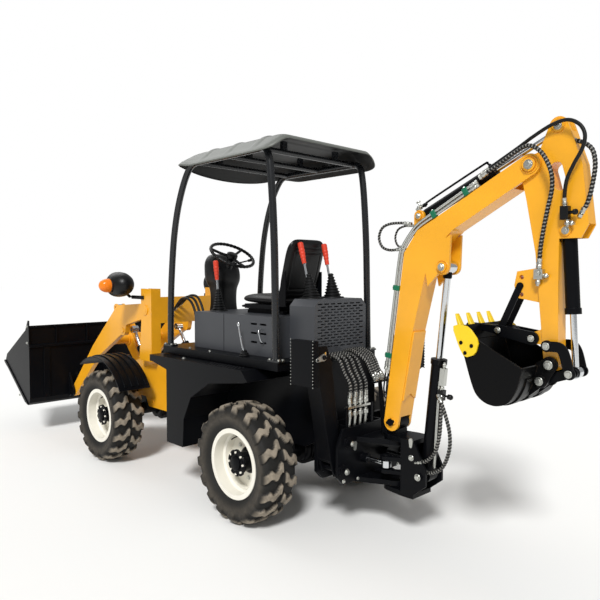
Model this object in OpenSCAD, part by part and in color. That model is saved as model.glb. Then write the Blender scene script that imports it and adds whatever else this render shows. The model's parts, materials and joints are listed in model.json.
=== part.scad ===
// Compact articulated backhoe loader, in millimetres.
// +X is forward, +Y is the left side, +Z is up, and the ground is z = 0.

/* [Wheels] */
// Distance between the two axles
wheelbase = 1860; // [1780:10:1960]
// Distance between the middles of the left and right tyres
track = 1090; // [1080:5:1120]
// Radius over the lugs
tyre_r = 385; // [375:1:395]
// Width of the tyre
tyre_w = 264; // [250:1:280]
// Height of the tread lugs
lug_h = 23; // [15:1:28]
// Lugs in each of the two rows
lugs_per_row = 17; // [10:1:17]
// Radius of the rim flange
rim_flange_r = 226; // [215:1:235]
// Width over the rim flanges
rim_w = 210; // [200:1:216]

/* [Rear chassis] */
// X of the rear axle
rear_axle_x = -930; // [-1000:5:-800]
// Distance from the rear axle forward to the steering pivot, as a share of the wheelbase
pivot_share = 0.5914; // [0.58:0.001:0.61]
// Half width over the chassis side plates
rail_half = 250; // [240:1:260]
// Thickness of the chassis side plates
rail_t = 20; // [12:1:28]
// Underside of the chassis side plates
rail_bottom = 470; // [460:1:480]
// Height of the platform's top
deck_z = 1040; // [1030:5:1080]
// Thickness of the platform
deck_t = 55; // [40:1:58]
// Half width of the platform
deck_half = 480; // [470:5:500]
// Outer face of the side tanks
tank_out = 600; // [560:5:620]
// Height of the steps on the side tanks
tank_top = 980; // [960:5:985]

/* [Hood] */
// Half width of the seat box
seat_box_half = 350; // [320:5:380]
// Top of the seat box
seat_box_z = 1310; // [1280:5:1340]
// Half width of the radiator hood
radiator_half = 253; // [240:1:270]
// Top of the radiator hood
radiator_z = 1430; // [1400:5:1460]
// Sheet thickness of the hoods
sheet_t = 8; // [5:1:12]
// Slot rows in the grille
grille_rows = 16; // [8:1:17]

/* [Canopy] */
// Radius of the canopy posts
post_r = 24; // [18:1:30]
// Distance of the posts from the middle plane
post_half = 450; // [440:1:455]
// Top of the roof
roof_z = 2490; // [2450:5:2520]
// Half width of the roof
roof_half = 550; // [530:5:580]

/* [Front frame] */
// Radius of the steering pins
steer_pin_r = 28; // [22:1:34]
// Top of the loader towers
tower_z = 1470; // [1450:5:1490]

/* [Loader] */
// Distance of each lift arm's middle inside the tyre's middle
arm_inset = 215; // [213:1:217]
// Thickness of a lift arm
arm_t = 44; // [36:1:48]
// Width of the loader bucket
loader_w = 1540; // [1400:10:1600]
// Plate thickness of the loader bucket
loader_plate = 14; // [10:1:18]

/* [Backhoe] */
// Distance of the swing axis behind the rear axle
swing_behind = 800; // [790:5:820]
// Width of the boom
boom_w = 130; // [126:1:134]
// Width of the stick
stick_w = 90; // [84:1:90]
// Width of the digging bucket
hoe_w = 460; // [400:10:520]
// Plate thickness of the digging bucket
hoe_plate = 14; // [10:1:18]
// Teeth on the digging bucket
hoe_teeth_count = 4; // [3:1:5]

/* [Hidden] */
$fn = 48;

// Colours
YELLOW = "#f2a51e";
BRIGHT_YELLOW = "#f6d21c";
BLACK = "#17181a";
CHARCOAL = "#3b3d41";
GREY = "#b9bbb8";
WHITE = "#e8e6dd";
RUBBER = "#26251f";
CHROME = "#c9ccd0";
RED = "#d8342a";
AMBER = "#f58a1f";

// Clearances
run_gap = 0.3;
side_gap = 5;

// Axles, steering pivot and swing axis
axle_z = tyre_r;
front_axle_x = rear_axle_x + wheelbase;
steer_x = rear_axle_x + round(wheelbase * pivot_share);
swing_x = rear_axle_x - swing_behind;
rail_top = deck_z - deck_t;
rail_in = rail_half - rail_t;

// Side plates of the front frame and the outer plates of its towers
front_plate_t = 18;
tower_gap = arm_t + 2 * side_gap;
arm_y = track / 2 - arm_inset;
tower_in = arm_y - tower_gap / 2 - front_plate_t;
tower_out = arm_y + tower_gap / 2 + front_plate_t;

// Loader pins as [x, z]
arm_pivot = [front_axle_x - 320, 1290];
bucket_hinge = arm_pivot + [1480, -895];
crank_pivot = arm_pivot + [910, -330];
crank_top = crank_pivot + [250, 290];
crank_low = crank_pivot + [-200, -240];
bucket_link_pin = bucket_hinge + [-60, 190];
lift_base = [front_axle_x - 300, 500];
lift_eye = arm_pivot + [440, -200];

// Backhoe pins as [x, z]
boom_foot = [swing_x - 8, 698];
boom_tip = boom_foot + [-843, 1441];
boom_eye = boom_foot + [-347, 936];
boom_base = [swing_x - 230, 420];
stick_base = boom_foot + [-181, 1232];
stick_eye = boom_tip + [-134, 171];
hoe_hinge = boom_tip + [-117, -989];
guide_pin = hoe_hinge + [7, 93];
link_joint = hoe_hinge + [-104, -32];
hoe_link_pin = hoe_hinge + [45, -86];
hoe_base = boom_tip + [-179, -334];

// Stabilizer pins as [y, z] and the middle of the legs along X
leg_pin = [300, 410];
leg_base = [250, 570];
leg_eye = [400, 1120];
leg_x = swing_x + 270;
leg_inside = 84;

// Extrudes a side outline, drawn as [x, z], between two Y planes
module along_y(y0, y1) translate([0, y1, 0]) rotate([90, 0, 0]) linear_extrude(y1 - y0) children();

// Extrudes a cross section, drawn as [y, z], between two X planes
module along_x(x0, x1) translate([x0, 0, 0]) rotate([90, 0, 90]) linear_extrude(x1 - x0) children();

// Extrudes a plan outline between two heights
module along_z(z0, z1) translate([0, 0, z0]) linear_extrude(z1 - z0) children();

module box(low, high) translate(low) cube(high - low);

// Pin or boss along Y at [x, z]
module pin_y(at, r, y0, y1) translate([at[0], y0, at[1]]) rotate([-90, 0, 0]) cylinder(r = r, h = y1 - y0);

// Pin or boss along X at [y, z]
module pin_x(at, r, x0, x1) translate([x0, at[0], at[1]]) rotate([0, 90, 0]) cylinder(r = r, h = x1 - x0);

// Round bar between two points
module bar(p, q, r) {
  d = q - p;
  translate(p)
    rotate([0, acos(d[2] / norm(d)), atan2(d[1], d[0])])
      cylinder(r = r, h = norm(d));
}

// Tube through [x, z] points in the plane y: one ring of corners at each point, mitred at the bends
module bent_tube(points, y, r, sides) {
  last = len(points) - 1;
  function way(i) = (points[i + 1] - points[i]) / norm(points[i + 1] - points[i]);
  function middle(i) = way(max(i - 1, 0)) + way(min(i, last - 1));
  function across(i) = [-middle(i)[1], middle(i)[0]] / (middle(i) * way(min(i, last - 1)));
  function corner(i, k) = points[i] + r * cos(k * 360 / sides) * across(i);
  polyhedron(
    [for (i = [0 : last], k = [0 : sides - 1])
      [corner(i, k)[0], y + r * sin(k * 360 / sides), corner(i, k)[1]]],
    concat(
      [[for (k = [0 : sides - 1]) sides - 1 - k]],
      [for (i = [0 : last - 1], k = [0 : sides - 1], next = [(k + 1) % sides])
        [i * sides + k, i * sides + next, (i + 1) * sides + next, (i + 1) * sides + k]],
      [[for (k = [0 : sides - 1]) last * sides + k]]));
}

// Outline with a round end at each of two points, tangent lines between
module link2d(p, q, rp, rq) {
  d = q - p;
  a = atan2(d[1], d[0]);
  b = acos((rp - rq) / norm(d));
  function around(c, r, t) = c + r * [cos(t), sin(t)];
  translate(p) circle(rp);
  translate(q) circle(rq);
  sp = rp - 0.5;
  sq = rq - 0.5;
  polygon([around(p, sp, a + b), around(p, sp, a - b), around(q, sq, a - b), around(q, sq, a + b)]);
}

module disc2d(at, r) translate(at) circle(r);

module both_sides() {
  children();
  mirror([0, 1, 0]) children();
}

// side = 1 keeps a left-hand shape, side = -1 makes it right-hand
module on_side(side) {
  if (side > 0) children();
  else mirror([0, 1, 0]) children();
}

// Cylinder barrel: an eye on base, a tube towards eye that ends after length
module barrel_y(base, eye, r, length, eye_r, pin_r, half_w, rod_r, y = 0) {
  u = (eye - base) / norm(eye - base);
  start = base + u * (eye_r * 0.7);
  gland = base + u * length;
  difference() {
    union() {
      pin_y(base, eye_r, y - half_w, y + half_w);
      bar([start[0], y, start[1]], [gland[0], y, gland[1]], r);
      collar = gland - u * 30;
      bar([collar[0], y, collar[1]], [gland[0], y, gland[1]], r + 5);
    }
    pin_y(base, pin_r + run_gap, y - half_w - 1, y + half_w + 1);
    bore_end = gland + u;
    bore_start = base + u * (eye_r + 20);
    bar([bore_start[0], y, bore_start[1]], [bore_end[0], y, bore_end[1]], rod_r + run_gap);
  }
}

// Piston rod with its eye, reaching back into the barrel
module rod_y(base, eye, r, barrel_len, eye_r, pin_r, half_w, inside, y = 0) {
  u = (eye - base) / norm(eye - base);
  start = base + u * (barrel_len - inside);
  neck = eye - u * (eye_r * 0.7);
  difference() {
    union() {
      pin_y(eye, eye_r, y - half_w, y + half_w);
      bar([start[0], y, start[1]], [neck[0], y, neck[1]], r);
    }
    pin_y(eye, pin_r, y - half_w - 1, y + half_w + 1);
  }
}

// Wheels: rims and tyres about the Y axis, outboard side towards +Y
rim_bead_r = rim_flange_r - 21;
rim_wall = 9;
rim_step_r = 182;
hub_r = 60;
hub_flange_r = 82;
hub_bolt_r = 70;
spindle_r = 30;
hub_in = -70;
hub_end = 74;
disc_in = -40;
disc_t = 12;

module rim() color(WHITE) rotate([-90, 0, 0]) difference() {
  union() {
    rotate_extrude() polygon([
      [rim_bead_r - rim_wall, -rim_w / 2], [rim_flange_r, -rim_w / 2],
      [rim_flange_r, -rim_w / 2 + 8], [rim_bead_r, -rim_w / 2 + 8],
      [rim_bead_r, rim_w / 2 - 8], [rim_flange_r, rim_w / 2 - 8],
      [rim_flange_r, rim_w / 2], [rim_bead_r - rim_wall, rim_w / 2]]);
    rotate_extrude() polygon([
      [0, disc_in], [rim_step_r + 6, disc_in], [rim_bead_r - rim_wall + 1, 8], [rim_bead_r - rim_wall + 1, 34],
      [rim_step_r, 22], [rim_step_r - 4, disc_in + disc_t], [0, disc_in + disc_t]]);
    rotate_extrude() polygon([
      [0, hub_in], [hub_r - 6, hub_in], [hub_r, hub_in + 6], [hub_r, hub_end - 12],
      [hub_flange_r, hub_end - 12],
      [hub_flange_r, hub_end], [38, hub_end], [34, hub_end + 18], [0, hub_end + 18]]);
    for (i = [0 : 7]) rotate(i * 45) translate([hub_bolt_r, 0, hub_end - 1]) cylinder(r = 7, h = 11);
  }
  translate([0, 0, hub_in - 1]) cylinder(r = spindle_r + run_gap, h = 46 - hub_in);
}

// Tread lug: a slanting block from the middle of the tread out to the shoulder
lug_sweep = 70;
lug_drop = 8.5;
module lug(turn) rotate([0, turn, 0])
  translate([0, 3, tyre_r - 1]) rotate([-lug_drop, 0, 0]) translate([0, 0, -lug_h - 30])
    hull() linear_extrude(lug_h + 30)
      polygon([[-24, 0], [24, 0], [30 - lug_sweep, tyre_w / 2 - 6], [-32 - lug_sweep, tyre_w / 2 - 6]]);

module tyre() color(RUBBER) {
  crown = tyre_r - lug_h;
  half = tyre_w / 2;
  bead = rim_w / 2 - 9;
  rotate([-90, 0, 0]) rotate_extrude($fn = 24) polygon([
    [rim_bead_r + run_gap, -bead], [rim_flange_r + 3, -bead], [262, -half + 2], [318, -half],
    [crown - 7, -half + 26],
    [crown, 0], [crown - 7, half - 26], [318, half], [262, half - 2], [rim_flange_r + 3, bead],
    [rim_bead_r + run_gap, bead]]);
  for (i = [0 : lugs_per_row - 1]) {
    lug(i * 360 / lugs_per_row);
    mirror([0, 1, 0]) lug((i + 0.5) * 360 / lugs_per_row);
  }
}

module at_wheel(x, side) translate([x, side * track / 2, axle_z]) on_side(side) children();
module rim_front_left() at_wheel(front_axle_x, 1) rim();
module rim_front_right() at_wheel(front_axle_x, -1) rim();
module rim_rear_left() at_wheel(rear_axle_x, 1) rim();
module rim_rear_right() at_wheel(rear_axle_x, -1) rim();
module tyre_front_left() at_wheel(front_axle_x, 1) tyre();
module tyre_front_right() at_wheel(front_axle_x, -1) tyre();
module tyre_rear_left() at_wheel(rear_axle_x, 1) tyre();
module tyre_rear_right() at_wheel(rear_axle_x, -1) tyre();

// Axle with its differential housing, spindles and saddles up to the frame
axle_tube_r = 52;
diff_r = 118;
module axle(x, seat_z, saddle_y) color(BLACK) {
  at = [x, axle_z];
  end_y = track / 2 + hub_in - 2;
  pin_y(at, axle_tube_r, -end_y, end_y);
  pin_y(at, spindle_r, -track / 2 - 40, track / 2 + 40);
  both_sides() pin_y(at, axle_tube_r + 22, end_y - 30, end_y);
  translate([x, 0, axle_z]) sphere(diff_r);
  pin_y(at, diff_r - 20, -95, 95);
  for (i = [-2 : 2]) pin_y(at, diff_r + 6, i * 22 - 4, i * 22 + 4);
  both_sides() box([x - 60, saddle_y - 45, axle_z], [x + 60, saddle_y + 45, seat_z]);
}
module rear_axle() axle(rear_axle_x, rail_bottom, rail_half - 45);
module front_axle() axle(front_axle_x, front_bottom, 180);

// Rear frame: side plates, cross plates, platform and steering ears
front_cross_x = steer_x - 120;
rear_end_x = swing_x + 375;
deck_back_x = rear_axle_x - 240;
ear_t = 30;
steer_ear_r = 70;
upper_ear_z = 745;
lower_ear_z = 435;
deck_front_x = steer_x - 10;

module rear_frame() color(BLACK) {
  both_sides() along_y(rail_in, rail_half) polygon([
    [rear_end_x, rail_bottom + 90], [rear_axle_x - 250, rail_bottom], [front_cross_x, rail_bottom],
    [front_cross_x, rail_top], [rear_end_x, rail_top]]);
  box([front_cross_x - 20, -rail_half, lower_ear_z], [front_cross_x, rail_half, rail_top]);
  box([rear_end_x, -rail_half, rail_bottom + 90], [rear_end_x + 20, rail_half, rail_top]);
  box([rear_axle_x - 250, -rail_half, rail_bottom], [rear_axle_x - 230, rail_half, rail_bottom + 60]);
  box([deck_back_x, -deck_half, rail_top], [deck_front_x, deck_half, deck_z]);
  box([rear_end_x, -radiator_half, rail_top], [deck_back_x, radiator_half, deck_z]);
  for (z = [upper_ear_z, lower_ear_z]) along_z(z, z + ear_t) {
    translate([steer_x, 0]) circle(steer_ear_r);
    polygon([[front_cross_x, -110], [steer_x, -steer_ear_r], [steer_x, steer_ear_r], [front_cross_x, 110]]);
  }
  translate([steer_x, 0, upper_ear_z - 42]) cylinder(r = steer_pin_r, h = ear_t + 54);
  translate([steer_x, 0, lower_ear_z - 12]) cylinder(r = steer_pin_r, h = ear_t + 54);
}

module engine() color(CHARCOAL) {
  box([rear_axle_x - 60, -190, 540], [rear_axle_x + 560, 190, rail_top - 20]);
  both_sides() for (x = [40, 460]) box([rear_axle_x + x, 190, 620], [rear_axle_x + x + 60, rail_in, 680]);
}

// Side tank with its step and the arch over the rear wheel, as offsets from the rear axle: [x, z]
tank_step_t = 50;
module side_tank() color(BLACK) along_y(rail_half, tank_out) polygon([
  for (p = [
    [1090, tank_top], [-25, tank_top], [-87, tank_top - 66], [-45, tank_top - 78], [320, tank_top - 125],
    [540, tank_top - 254], [631, tank_top - 423], [646, 350], [856, 350], [856, tank_top - 90],
    [1050, tank_top - tank_step_t], [1090, tank_top - tank_step_t]
  ]) [rear_axle_x + p[0], p[1]]
]);
module side_tank_left() side_tank();
module side_tank_right() mirror([0, 1, 0]) side_tank();

// Seat box and radiator hood of bent sheet
seat_box_back = rear_axle_x - 110;
seat_box_front = deck_front_x - 240;
radiator_back = rear_axle_x - 340;
chamfer = 45;
// Air slits in the seat box's sides: distances from its back and from the platform
slit_columns = [125, 222];
slit_rows = [84, 146, 208];
slit_w = 66;
slit_h = 13;

module hood() color(CHARCOAL) difference() {
  box([seat_box_back, -seat_box_half, deck_z], [seat_box_front, seat_box_half, seat_box_z]);
  box([seat_box_back + sheet_t, -seat_box_half + sheet_t, deck_z - 1],
    [seat_box_front - sheet_t, seat_box_half - sheet_t, seat_box_z - sheet_t]);
  for (x = slit_columns, z = slit_rows) box([seat_box_back + x, -seat_box_half - 1, deck_z + z],
    [seat_box_back + x + slit_w, seat_box_half + 1, deck_z + z + slit_h]);
}

module hood_section(inset, low) polygon([
  [-radiator_half + inset, low], [radiator_half - inset, low], [radiator_half - inset, radiator_z - chamfer],
  [radiator_half - chamfer, radiator_z - inset], [-radiator_half + chamfer, radiator_z - inset],
  [-radiator_half + inset, radiator_z - chamfer]]);

slot_w = 44;
slot_h = 8;
slot_pitch_y = 62;
slot_pitch_z = 18.5;
slot_low = 78;
module radiator_hood() color(CHARCOAL) difference() {
  along_x(radiator_back, seat_box_back) hood_section(0, deck_z);
  along_x(radiator_back + sheet_t, seat_box_back - sheet_t) hood_section(sheet_t, deck_z - 1);
  for (row = [0 : grille_rows - 1], column = [-3 : 3]) {
    y = column * slot_pitch_y + (row % 2) * slot_pitch_y / 2 - slot_pitch_y / 4;
    z = deck_z + slot_low + row * slot_pitch_z;
    box([radiator_back - 1, y - slot_w / 2, z], [radiator_back + sheet_t + 1, y + slot_w / 2, z + slot_h]);
  }
}

module radiator() color(BLACK)
  box([radiator_back + 25, -radiator_half + 45, deck_z],
    [radiator_back + 95, radiator_half - 45, radiator_z - 60]);

// Canopy: four bent posts with cross tubes, and a roof of one bent sheet
post_path = [
  [-196, deck_z + 3], [-186, 1500], [-178, 1800], [-160, 2100], [-138, 2300], [-110, roof_z - 105],
  [-80, roof_z - 92], [700, roof_z - 92], [762, roof_z - 122], [840, 2250], [915, 2080], [968, 1880],
  [1000, 1650], [1020, 1400], [1030, deck_z + 3]
];
post_top_back = 6;
post_top_front = 7;
roof_t = 16;
roof_drop = 110;
roof_flat = 420;
roof_back = rear_axle_x - 250;
roof_front = rear_axle_x + 720;
visor = 130;

module canopy_posts() color(CHARCOAL) {
  path = [for (p = post_path) [rear_axle_x + p[0], p[1]]];
  top_z = roof_z - 92;
  last = len(path) - 1;
  for (side = [-1, 1]) {
    bent_tube(path, side * post_half, post_r, 16);
    for (foot = [path[0], path[last]])
      box([foot[0] - 45, side * post_half - 29, deck_z], [foot[0] + 45, side * post_half + 29, deck_z + 10]);
  }
  back_x = path[post_top_back][0];
  front_x = path[post_top_front][0];
  for (x = [back_x + 30, (back_x + front_x) / 2, front_x - 30]) {
    pin_y([x, top_z], post_r - 6, -post_half, post_half, $fn = 16);
    for (y = [-250, 250]) box([x - 14, y - 20, top_z], [x + 14, y + 20, roof_z - roof_t - run_gap]);
  }
}

module roof_section() polygon([
  [-roof_half, roof_z - roof_drop], [-roof_flat, roof_z], [roof_flat, roof_z], [roof_half, roof_z - roof_drop],
  [roof_half - roof_t * 0.6, roof_z - roof_drop - roof_t * 0.8], [roof_flat - 6, roof_z - roof_t],
  [-roof_flat + 6, roof_z - roof_t], [-roof_half + roof_t * 0.6, roof_z - roof_drop - roof_t * 0.8]]);

module canopy_roof() color(GREY) {
  along_x(roof_back, roof_front) roof_section();
  intersection() {
    along_y(-roof_half, roof_half) polygon([
      [roof_front, roof_z], [roof_front + visor, roof_z - 150], [roof_front + visor - 10, roof_z - 162],
      [roof_front, roof_z - 20]]);
    along_x(roof_front, roof_front + visor) polygon([
      [-roof_half, roof_z - 170], [roof_half, roof_z - 170], [roof_half, roof_z - roof_drop],
      [roof_flat, roof_z], [-roof_flat, roof_z], [-roof_half, roof_z - roof_drop]]);
  }
}

// Seat: rails, cushion and backrest
seat_x = rear_axle_x + 270;
cushion_half = 205;
backrest_half = 175;
module seat() color(BLACK) {
  for (y = [-130, 130]) box([seat_x - 180, y - 20, seat_box_z], [seat_x + 180, y + 20, seat_box_z + 50]);
  along_y(-cushion_half, cushion_half) polygon([
    [seat_x - 220, seat_box_z + 50], [seat_x + 230, seat_box_z + 50], [seat_x + 240, seat_box_z + 130],
    [seat_x + 200, seat_box_z + 145], [seat_x - 150, seat_box_z + 125], [seat_x - 230, seat_box_z + 125]]);
  along_y(-backrest_half, backrest_half) polygon([
    [seat_x - 140, seat_box_z + 100], [seat_x - 190, seat_box_z + 300], [seat_x - 215, seat_box_z + 530],
    [seat_x - 280, seat_box_z + 530], [seat_x - 290, seat_box_z + 200], [seat_x - 260, seat_box_z + 100]]);
}

// Steering console with its column and wheel
console_x = deck_front_x - 135;
wheel_at = [console_x - 125, 0, 1745];
wheel_tilt = -32;
steer_wheel_r = 178;
module steering_console() color(BLACK) {
  along_y(-120, 120) polygon([
    [console_x - 100, deck_z], [console_x + 100, deck_z], [console_x + 110, 1450], [console_x + 105, 1630],
    [console_x + 55, 1695], [console_x - 20, 1670], [console_x - 95, 1560], [console_x - 100, 1330]]);
  bar([console_x - 30, 0, 1630], wheel_at, 26);
  translate(wheel_at) rotate([0, wheel_tilt, 0]) {
    rotate_extrude() translate([steer_wheel_r, 0]) circle(13);
    translate([0, 0, -30]) cylinder(r = 42, h = 40);
    for (i = [0 : 2]) rotate(i * 120 + 60) translate([30, -14, -12]) cube([steer_wheel_r - 30, 28, 12]);
  }
}

// Levers with bellows boots: [x from the rear axle, y, seat height, lean forward, length, boot radius]
levers = [
  [seat_box_front - rear_axle_x - 110, 200, seat_box_z, 40, 380, 58],
  [-165, 105, radiator_z, 110, 385, 70],
  [-165, -105, radiator_z, 85, 375, 70]
];
pleats = 6;
pleat_h = 26;
grip_r = 18;
module control_levers() color(RED) for (v = levers) {
  foot = [rear_axle_x + v[0], v[1], v[2]];
  top = foot + [v[3], 0, v[4]];
  for (i = [0 : pleats - 1]) translate(foot + [v[3] * pleat_h * i / v[4], 0, i * pleat_h])
    cylinder(r = v[5] - (v[5] - 22) * i / (pleats - 1), h = pleat_h + 1);
  bar(foot + (top - foot) * 0.2, top, 8);
  bar(foot + (top - foot) * 0.66, top, grip_r);
  translate(top) sphere(grip_r);
}

// Backhoe frame: cross plates that hold the stabilizers, swing plates and swing cylinder barrels
frame_plate_t = 16;
swing_plate_z = [310, 560];
swing_plate_t = 30;
swing_pin_r = 25;
swing_y = 100;
swing_z = 450;
swing_boss_r = 75;
swing_barrel_r = 30;
swing_rod_r = 15;
swing_gland_x = swing_x + 135;
plate_front_x = leg_x + leg_inside / 2 + 33;
plate_back_x = leg_x - leg_inside / 2 - 33;

module swing_neck2d() {
  translate([swing_x, 0]) circle(swing_boss_r);
  polygon([[plate_front_x, -200], [plate_back_x, -170], [swing_x, -swing_boss_r],
    [swing_x, swing_boss_r], [plate_back_x, 170], [plate_front_x, 200]]);
}

module stab_plate2d() polygon([
  [-340, 370], [-290, 320], [290, 320], [340, 370], [340, 560], [290, 660], [-290, 660], [-340, 560]]);

module backhoe_frame() color(BLACK) difference() {
  union() {
    along_x(plate_front_x, rear_end_x) stab_plate2d();
    along_x(plate_back_x - frame_plate_t, plate_back_x) stab_plate2d();
    for (z = swing_plate_z) along_z(z, z + swing_plate_t) swing_neck2d();
    both_sides() {
      box([plate_back_x - 1, 150, 320], [plate_front_x + 1, 166, 640]);
      pin_x([swing_y, swing_z], swing_barrel_r, swing_gland_x, plate_front_x + 1);
      for (p = [leg_pin, leg_base]) {
        pin_x(p, 20, plate_back_x - frame_plate_t - 12, plate_front_x + 1);
        pin_x(p, 34, plate_back_x - frame_plate_t - 8, plate_back_x - frame_plate_t);
      }
    }
  }
  both_sides() pin_x([swing_y, swing_z], swing_rod_r + run_gap, swing_gland_x - 1, plate_front_x - 8);
  for (z = swing_plate_z)
    translate([swing_x, 0, z - 1]) cylinder(r = swing_pin_r + run_gap, h = swing_plate_t + 2);
}

// Swing post: plates above and below the frame's swing plates, a back with cheeks, and the boom knuckle
post_plate_t = 28;
post_low_z = swing_plate_z[0] - side_gap - post_plate_t;
post_top_z = swing_plate_z[1] + swing_plate_t + side_gap;
post_half_w = 92;
post_back_x = swing_x - 100;
cheek_t = 16;
knuckle_half = 44;
knuckle_r = 56;
foot_pin_r = 22;
boom_base_r = 20;
swing_ear_gap = 60;

module post_plate2d() {
  translate([swing_x, 0]) circle(swing_boss_r);
  polygon([[swing_x, -swing_boss_r], [swing_x, swing_boss_r], [post_back_x, post_half_w],
    [post_back_x - 90, post_half_w], [post_back_x - 90, -post_half_w], [post_back_x, -post_half_w]]);
}

module swing_ear2d() {
  both_sides() {
    translate([swing_x, swing_y]) circle(38);
    polygon([
      [swing_x, swing_y + 38], [swing_x - 36, swing_y - 14], [post_back_x, 30], [post_back_x, post_half_w]]);
  }
}

module swing_post() color(BLACK) {
  along_z(post_low_z, post_low_z + post_plate_t) post_plate2d();
  along_z(post_top_z, post_top_z + post_plate_t) post_plate2d();
  box([post_back_x - 16, -post_half_w, post_low_z], [post_back_x, post_half_w, post_top_z + post_plate_t]);
  both_sides() along_y(post_half_w - cheek_t, post_half_w) polygon([
    [post_back_x, post_low_z], [post_back_x - 60, post_low_z], [boom_base[0] - 45, boom_base[1] - 50],
    [boom_base[0] - 45, boom_base[1] + 40], [post_back_x - 90, post_top_z + post_plate_t],
    [post_back_x, post_top_z + post_plate_t]]);
  for (s = [-1, 1])
    along_z(swing_z + s * (swing_ear_gap / 2 + 10) - 10, swing_z + s * (swing_ear_gap / 2 + 10) + 10)
    swing_ear2d();
  for (s = [-1, 1], y = [-swing_y, swing_y])
    translate([swing_x, y, swing_z + s * (swing_ear_gap / 2 + 24) - 4]) cylinder(r = 20, h = 8);
  translate([swing_x, 0, post_low_z])
    cylinder(r = swing_pin_r, h = swing_plate_z[0] + swing_plate_t - post_low_z);
  translate([swing_x, 0, swing_plate_z[1]]) cylinder(r = swing_pin_r, h = post_top_z - swing_plate_z[1] + 1);
  along_y(-knuckle_half, knuckle_half) {
    disc2d(boom_foot, knuckle_r);
    polygon([boom_foot + [56, 0], [swing_x + 50, post_top_z + post_plate_t - 1],
      [swing_x - 50, post_top_z + post_plate_t - 1], boom_foot + [-38, -38]]);
  }
  pin_y(boom_foot, foot_pin_r, -boom_w / 2 - 14, boom_w / 2 + 14);
  pin_y(boom_base, boom_base_r, -post_half_w - 12, post_half_w + 12);
}

module swing_rod(side) color(CHROME) on_side(side) difference() {
  union() {
    pin_x([swing_y, swing_z], swing_rod_r, swing_x + 20, swing_gland_x + 107);
    translate([swing_x, swing_y, swing_z - 20]) cylinder(r = 30, h = 40);
  }
  translate([swing_x, swing_y, swing_z - 21]) cylinder(r = 16, h = 42);
}
module swing_rod_left() swing_rod(1);
module swing_rod_right() swing_rod(-1);

// Boom: a box with forks at its foot and tip, outline as offsets from the foot pin
boom_side = 17;
tip_r = 55;
fork_half = boom_w / 2 - boom_side;
tip_pin_r = 22;
module boom_outline2d() {
  polygon([for (p = [
    [53, 2], [-87, 1022], [-177, 1147], [-821, 1491], [-865, 1391], [-407, 1137], [-312, 1042],
    [-237, 902], [-152, 562], [-54, 2]]) boom_foot + p]);
  disc2d(boom_foot, 54);
  disc2d(boom_tip, tip_r);
}
module boom_bracket2d() {
  disc2d(boom_eye, 44);
  polygon([for (p = [[-44, 0], [-50, 180], [130, 60], [95, -110], [25, -36]]) boom_eye + p]);
}
module stick_lug2d() link2d(stick_base, stick_base + [-10, -110], 34, 46);

module boom() color(YELLOW) difference() {
  union() {
    along_y(-boom_w / 2, boom_w / 2) boom_outline2d();
    both_sides() {
      along_y(boom_w / 2 - boom_side, boom_w / 2) boom_bracket2d();
      along_y(36, 52) stick_lug2d();
      pin_y(boom_tip, 34, boom_w / 2, boom_w / 2 + 12);
      pin_y(boom_eye, 30, boom_w / 2, boom_w / 2 + 10);
      pin_y(stick_base, 22, 52, 62);
    }
    pin_y(stick_base, 18, -60, 60);
    pin_y(boom_tip, tip_pin_r, -boom_w / 2, boom_w / 2);
  }
  pin_y(boom_foot, foot_pin_r + run_gap, -boom_w, boom_w);
  along_y(-fork_half, fork_half) {
    disc2d(boom_foot, knuckle_r + side_gap);
    polygon([for (p = [[80, 0], [61, 30], [-90, 40], [-100, -80], [80, -80]]) boom_foot + p]);
    disc2d(boom_eye, 52);
  }
  difference() {
    along_y(-fork_half, fork_half) disc2d(boom_tip, 138);
    pin_y(boom_tip, tip_pin_r, -boom_w, boom_w);
  }
}

// Pressure pipes over the boom's front edge with clamps: [x, z from the foot pin, outward x, outward z]
pipe_run = [
  [8, 330, 0.991, 0.136], [-87, 1022, 0.957, 0.382], [-177, 1147, 0.676, 0.773], [-560, 1352, 0.471, 0.882]
];
pipe_clamps = [
  [-2, 402, 0.991, 0.136], [-58, 811, 0.991, 0.136], [-300, 1213, 0.471, 0.882], [-500, 1320, 0.471, 0.882]];
pipe_out = [14, 34];
pipe_y = 61.5;
pipe_r = 8;
clamp_half = 14;
clamp_out = 46;
module boom_pipes() color(CHROME) {
  for (out = pipe_out)
    bent_tube([for (p = pipe_run) boom_foot + [p[0] + out * p[2], p[1] + out * p[3]]], pipe_y, pipe_r, 10);
  for (p = pipe_clamps) {
    at = boom_foot + [p[0], p[1]];
    out = [p[2], p[3]];
    along = [-p[3], p[2]] * clamp_half;
    along_y(pipe_y - pipe_r - 4, pipe_y + pipe_r + 4)
      polygon([
        at + out + along, at + out - along, at + out * clamp_out - along, at + out * clamp_out + along]);
  }
}

// Boom cylinder
module boom_barrel() color(BLACK) barrel_y(boom_base, boom_eye, 42, 690, 42, boom_base_r, 40, 20);
module boom_rod() color(CHROME) rod_y(boom_base, boom_eye, 20, 690, 36, 18, 38, 160);

// Thumb pins on the stick as [x, z], and the half width of the thumb's lug
thumb_pin = hoe_hinge + [96, 122];
thumb_mid = thumb_pin + [180, 30];
thumb_tip = hoe_hinge + [470, 168];
thumb_bar_pin = boom_tip + [52, -604];
thumb_lug = 40;

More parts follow.
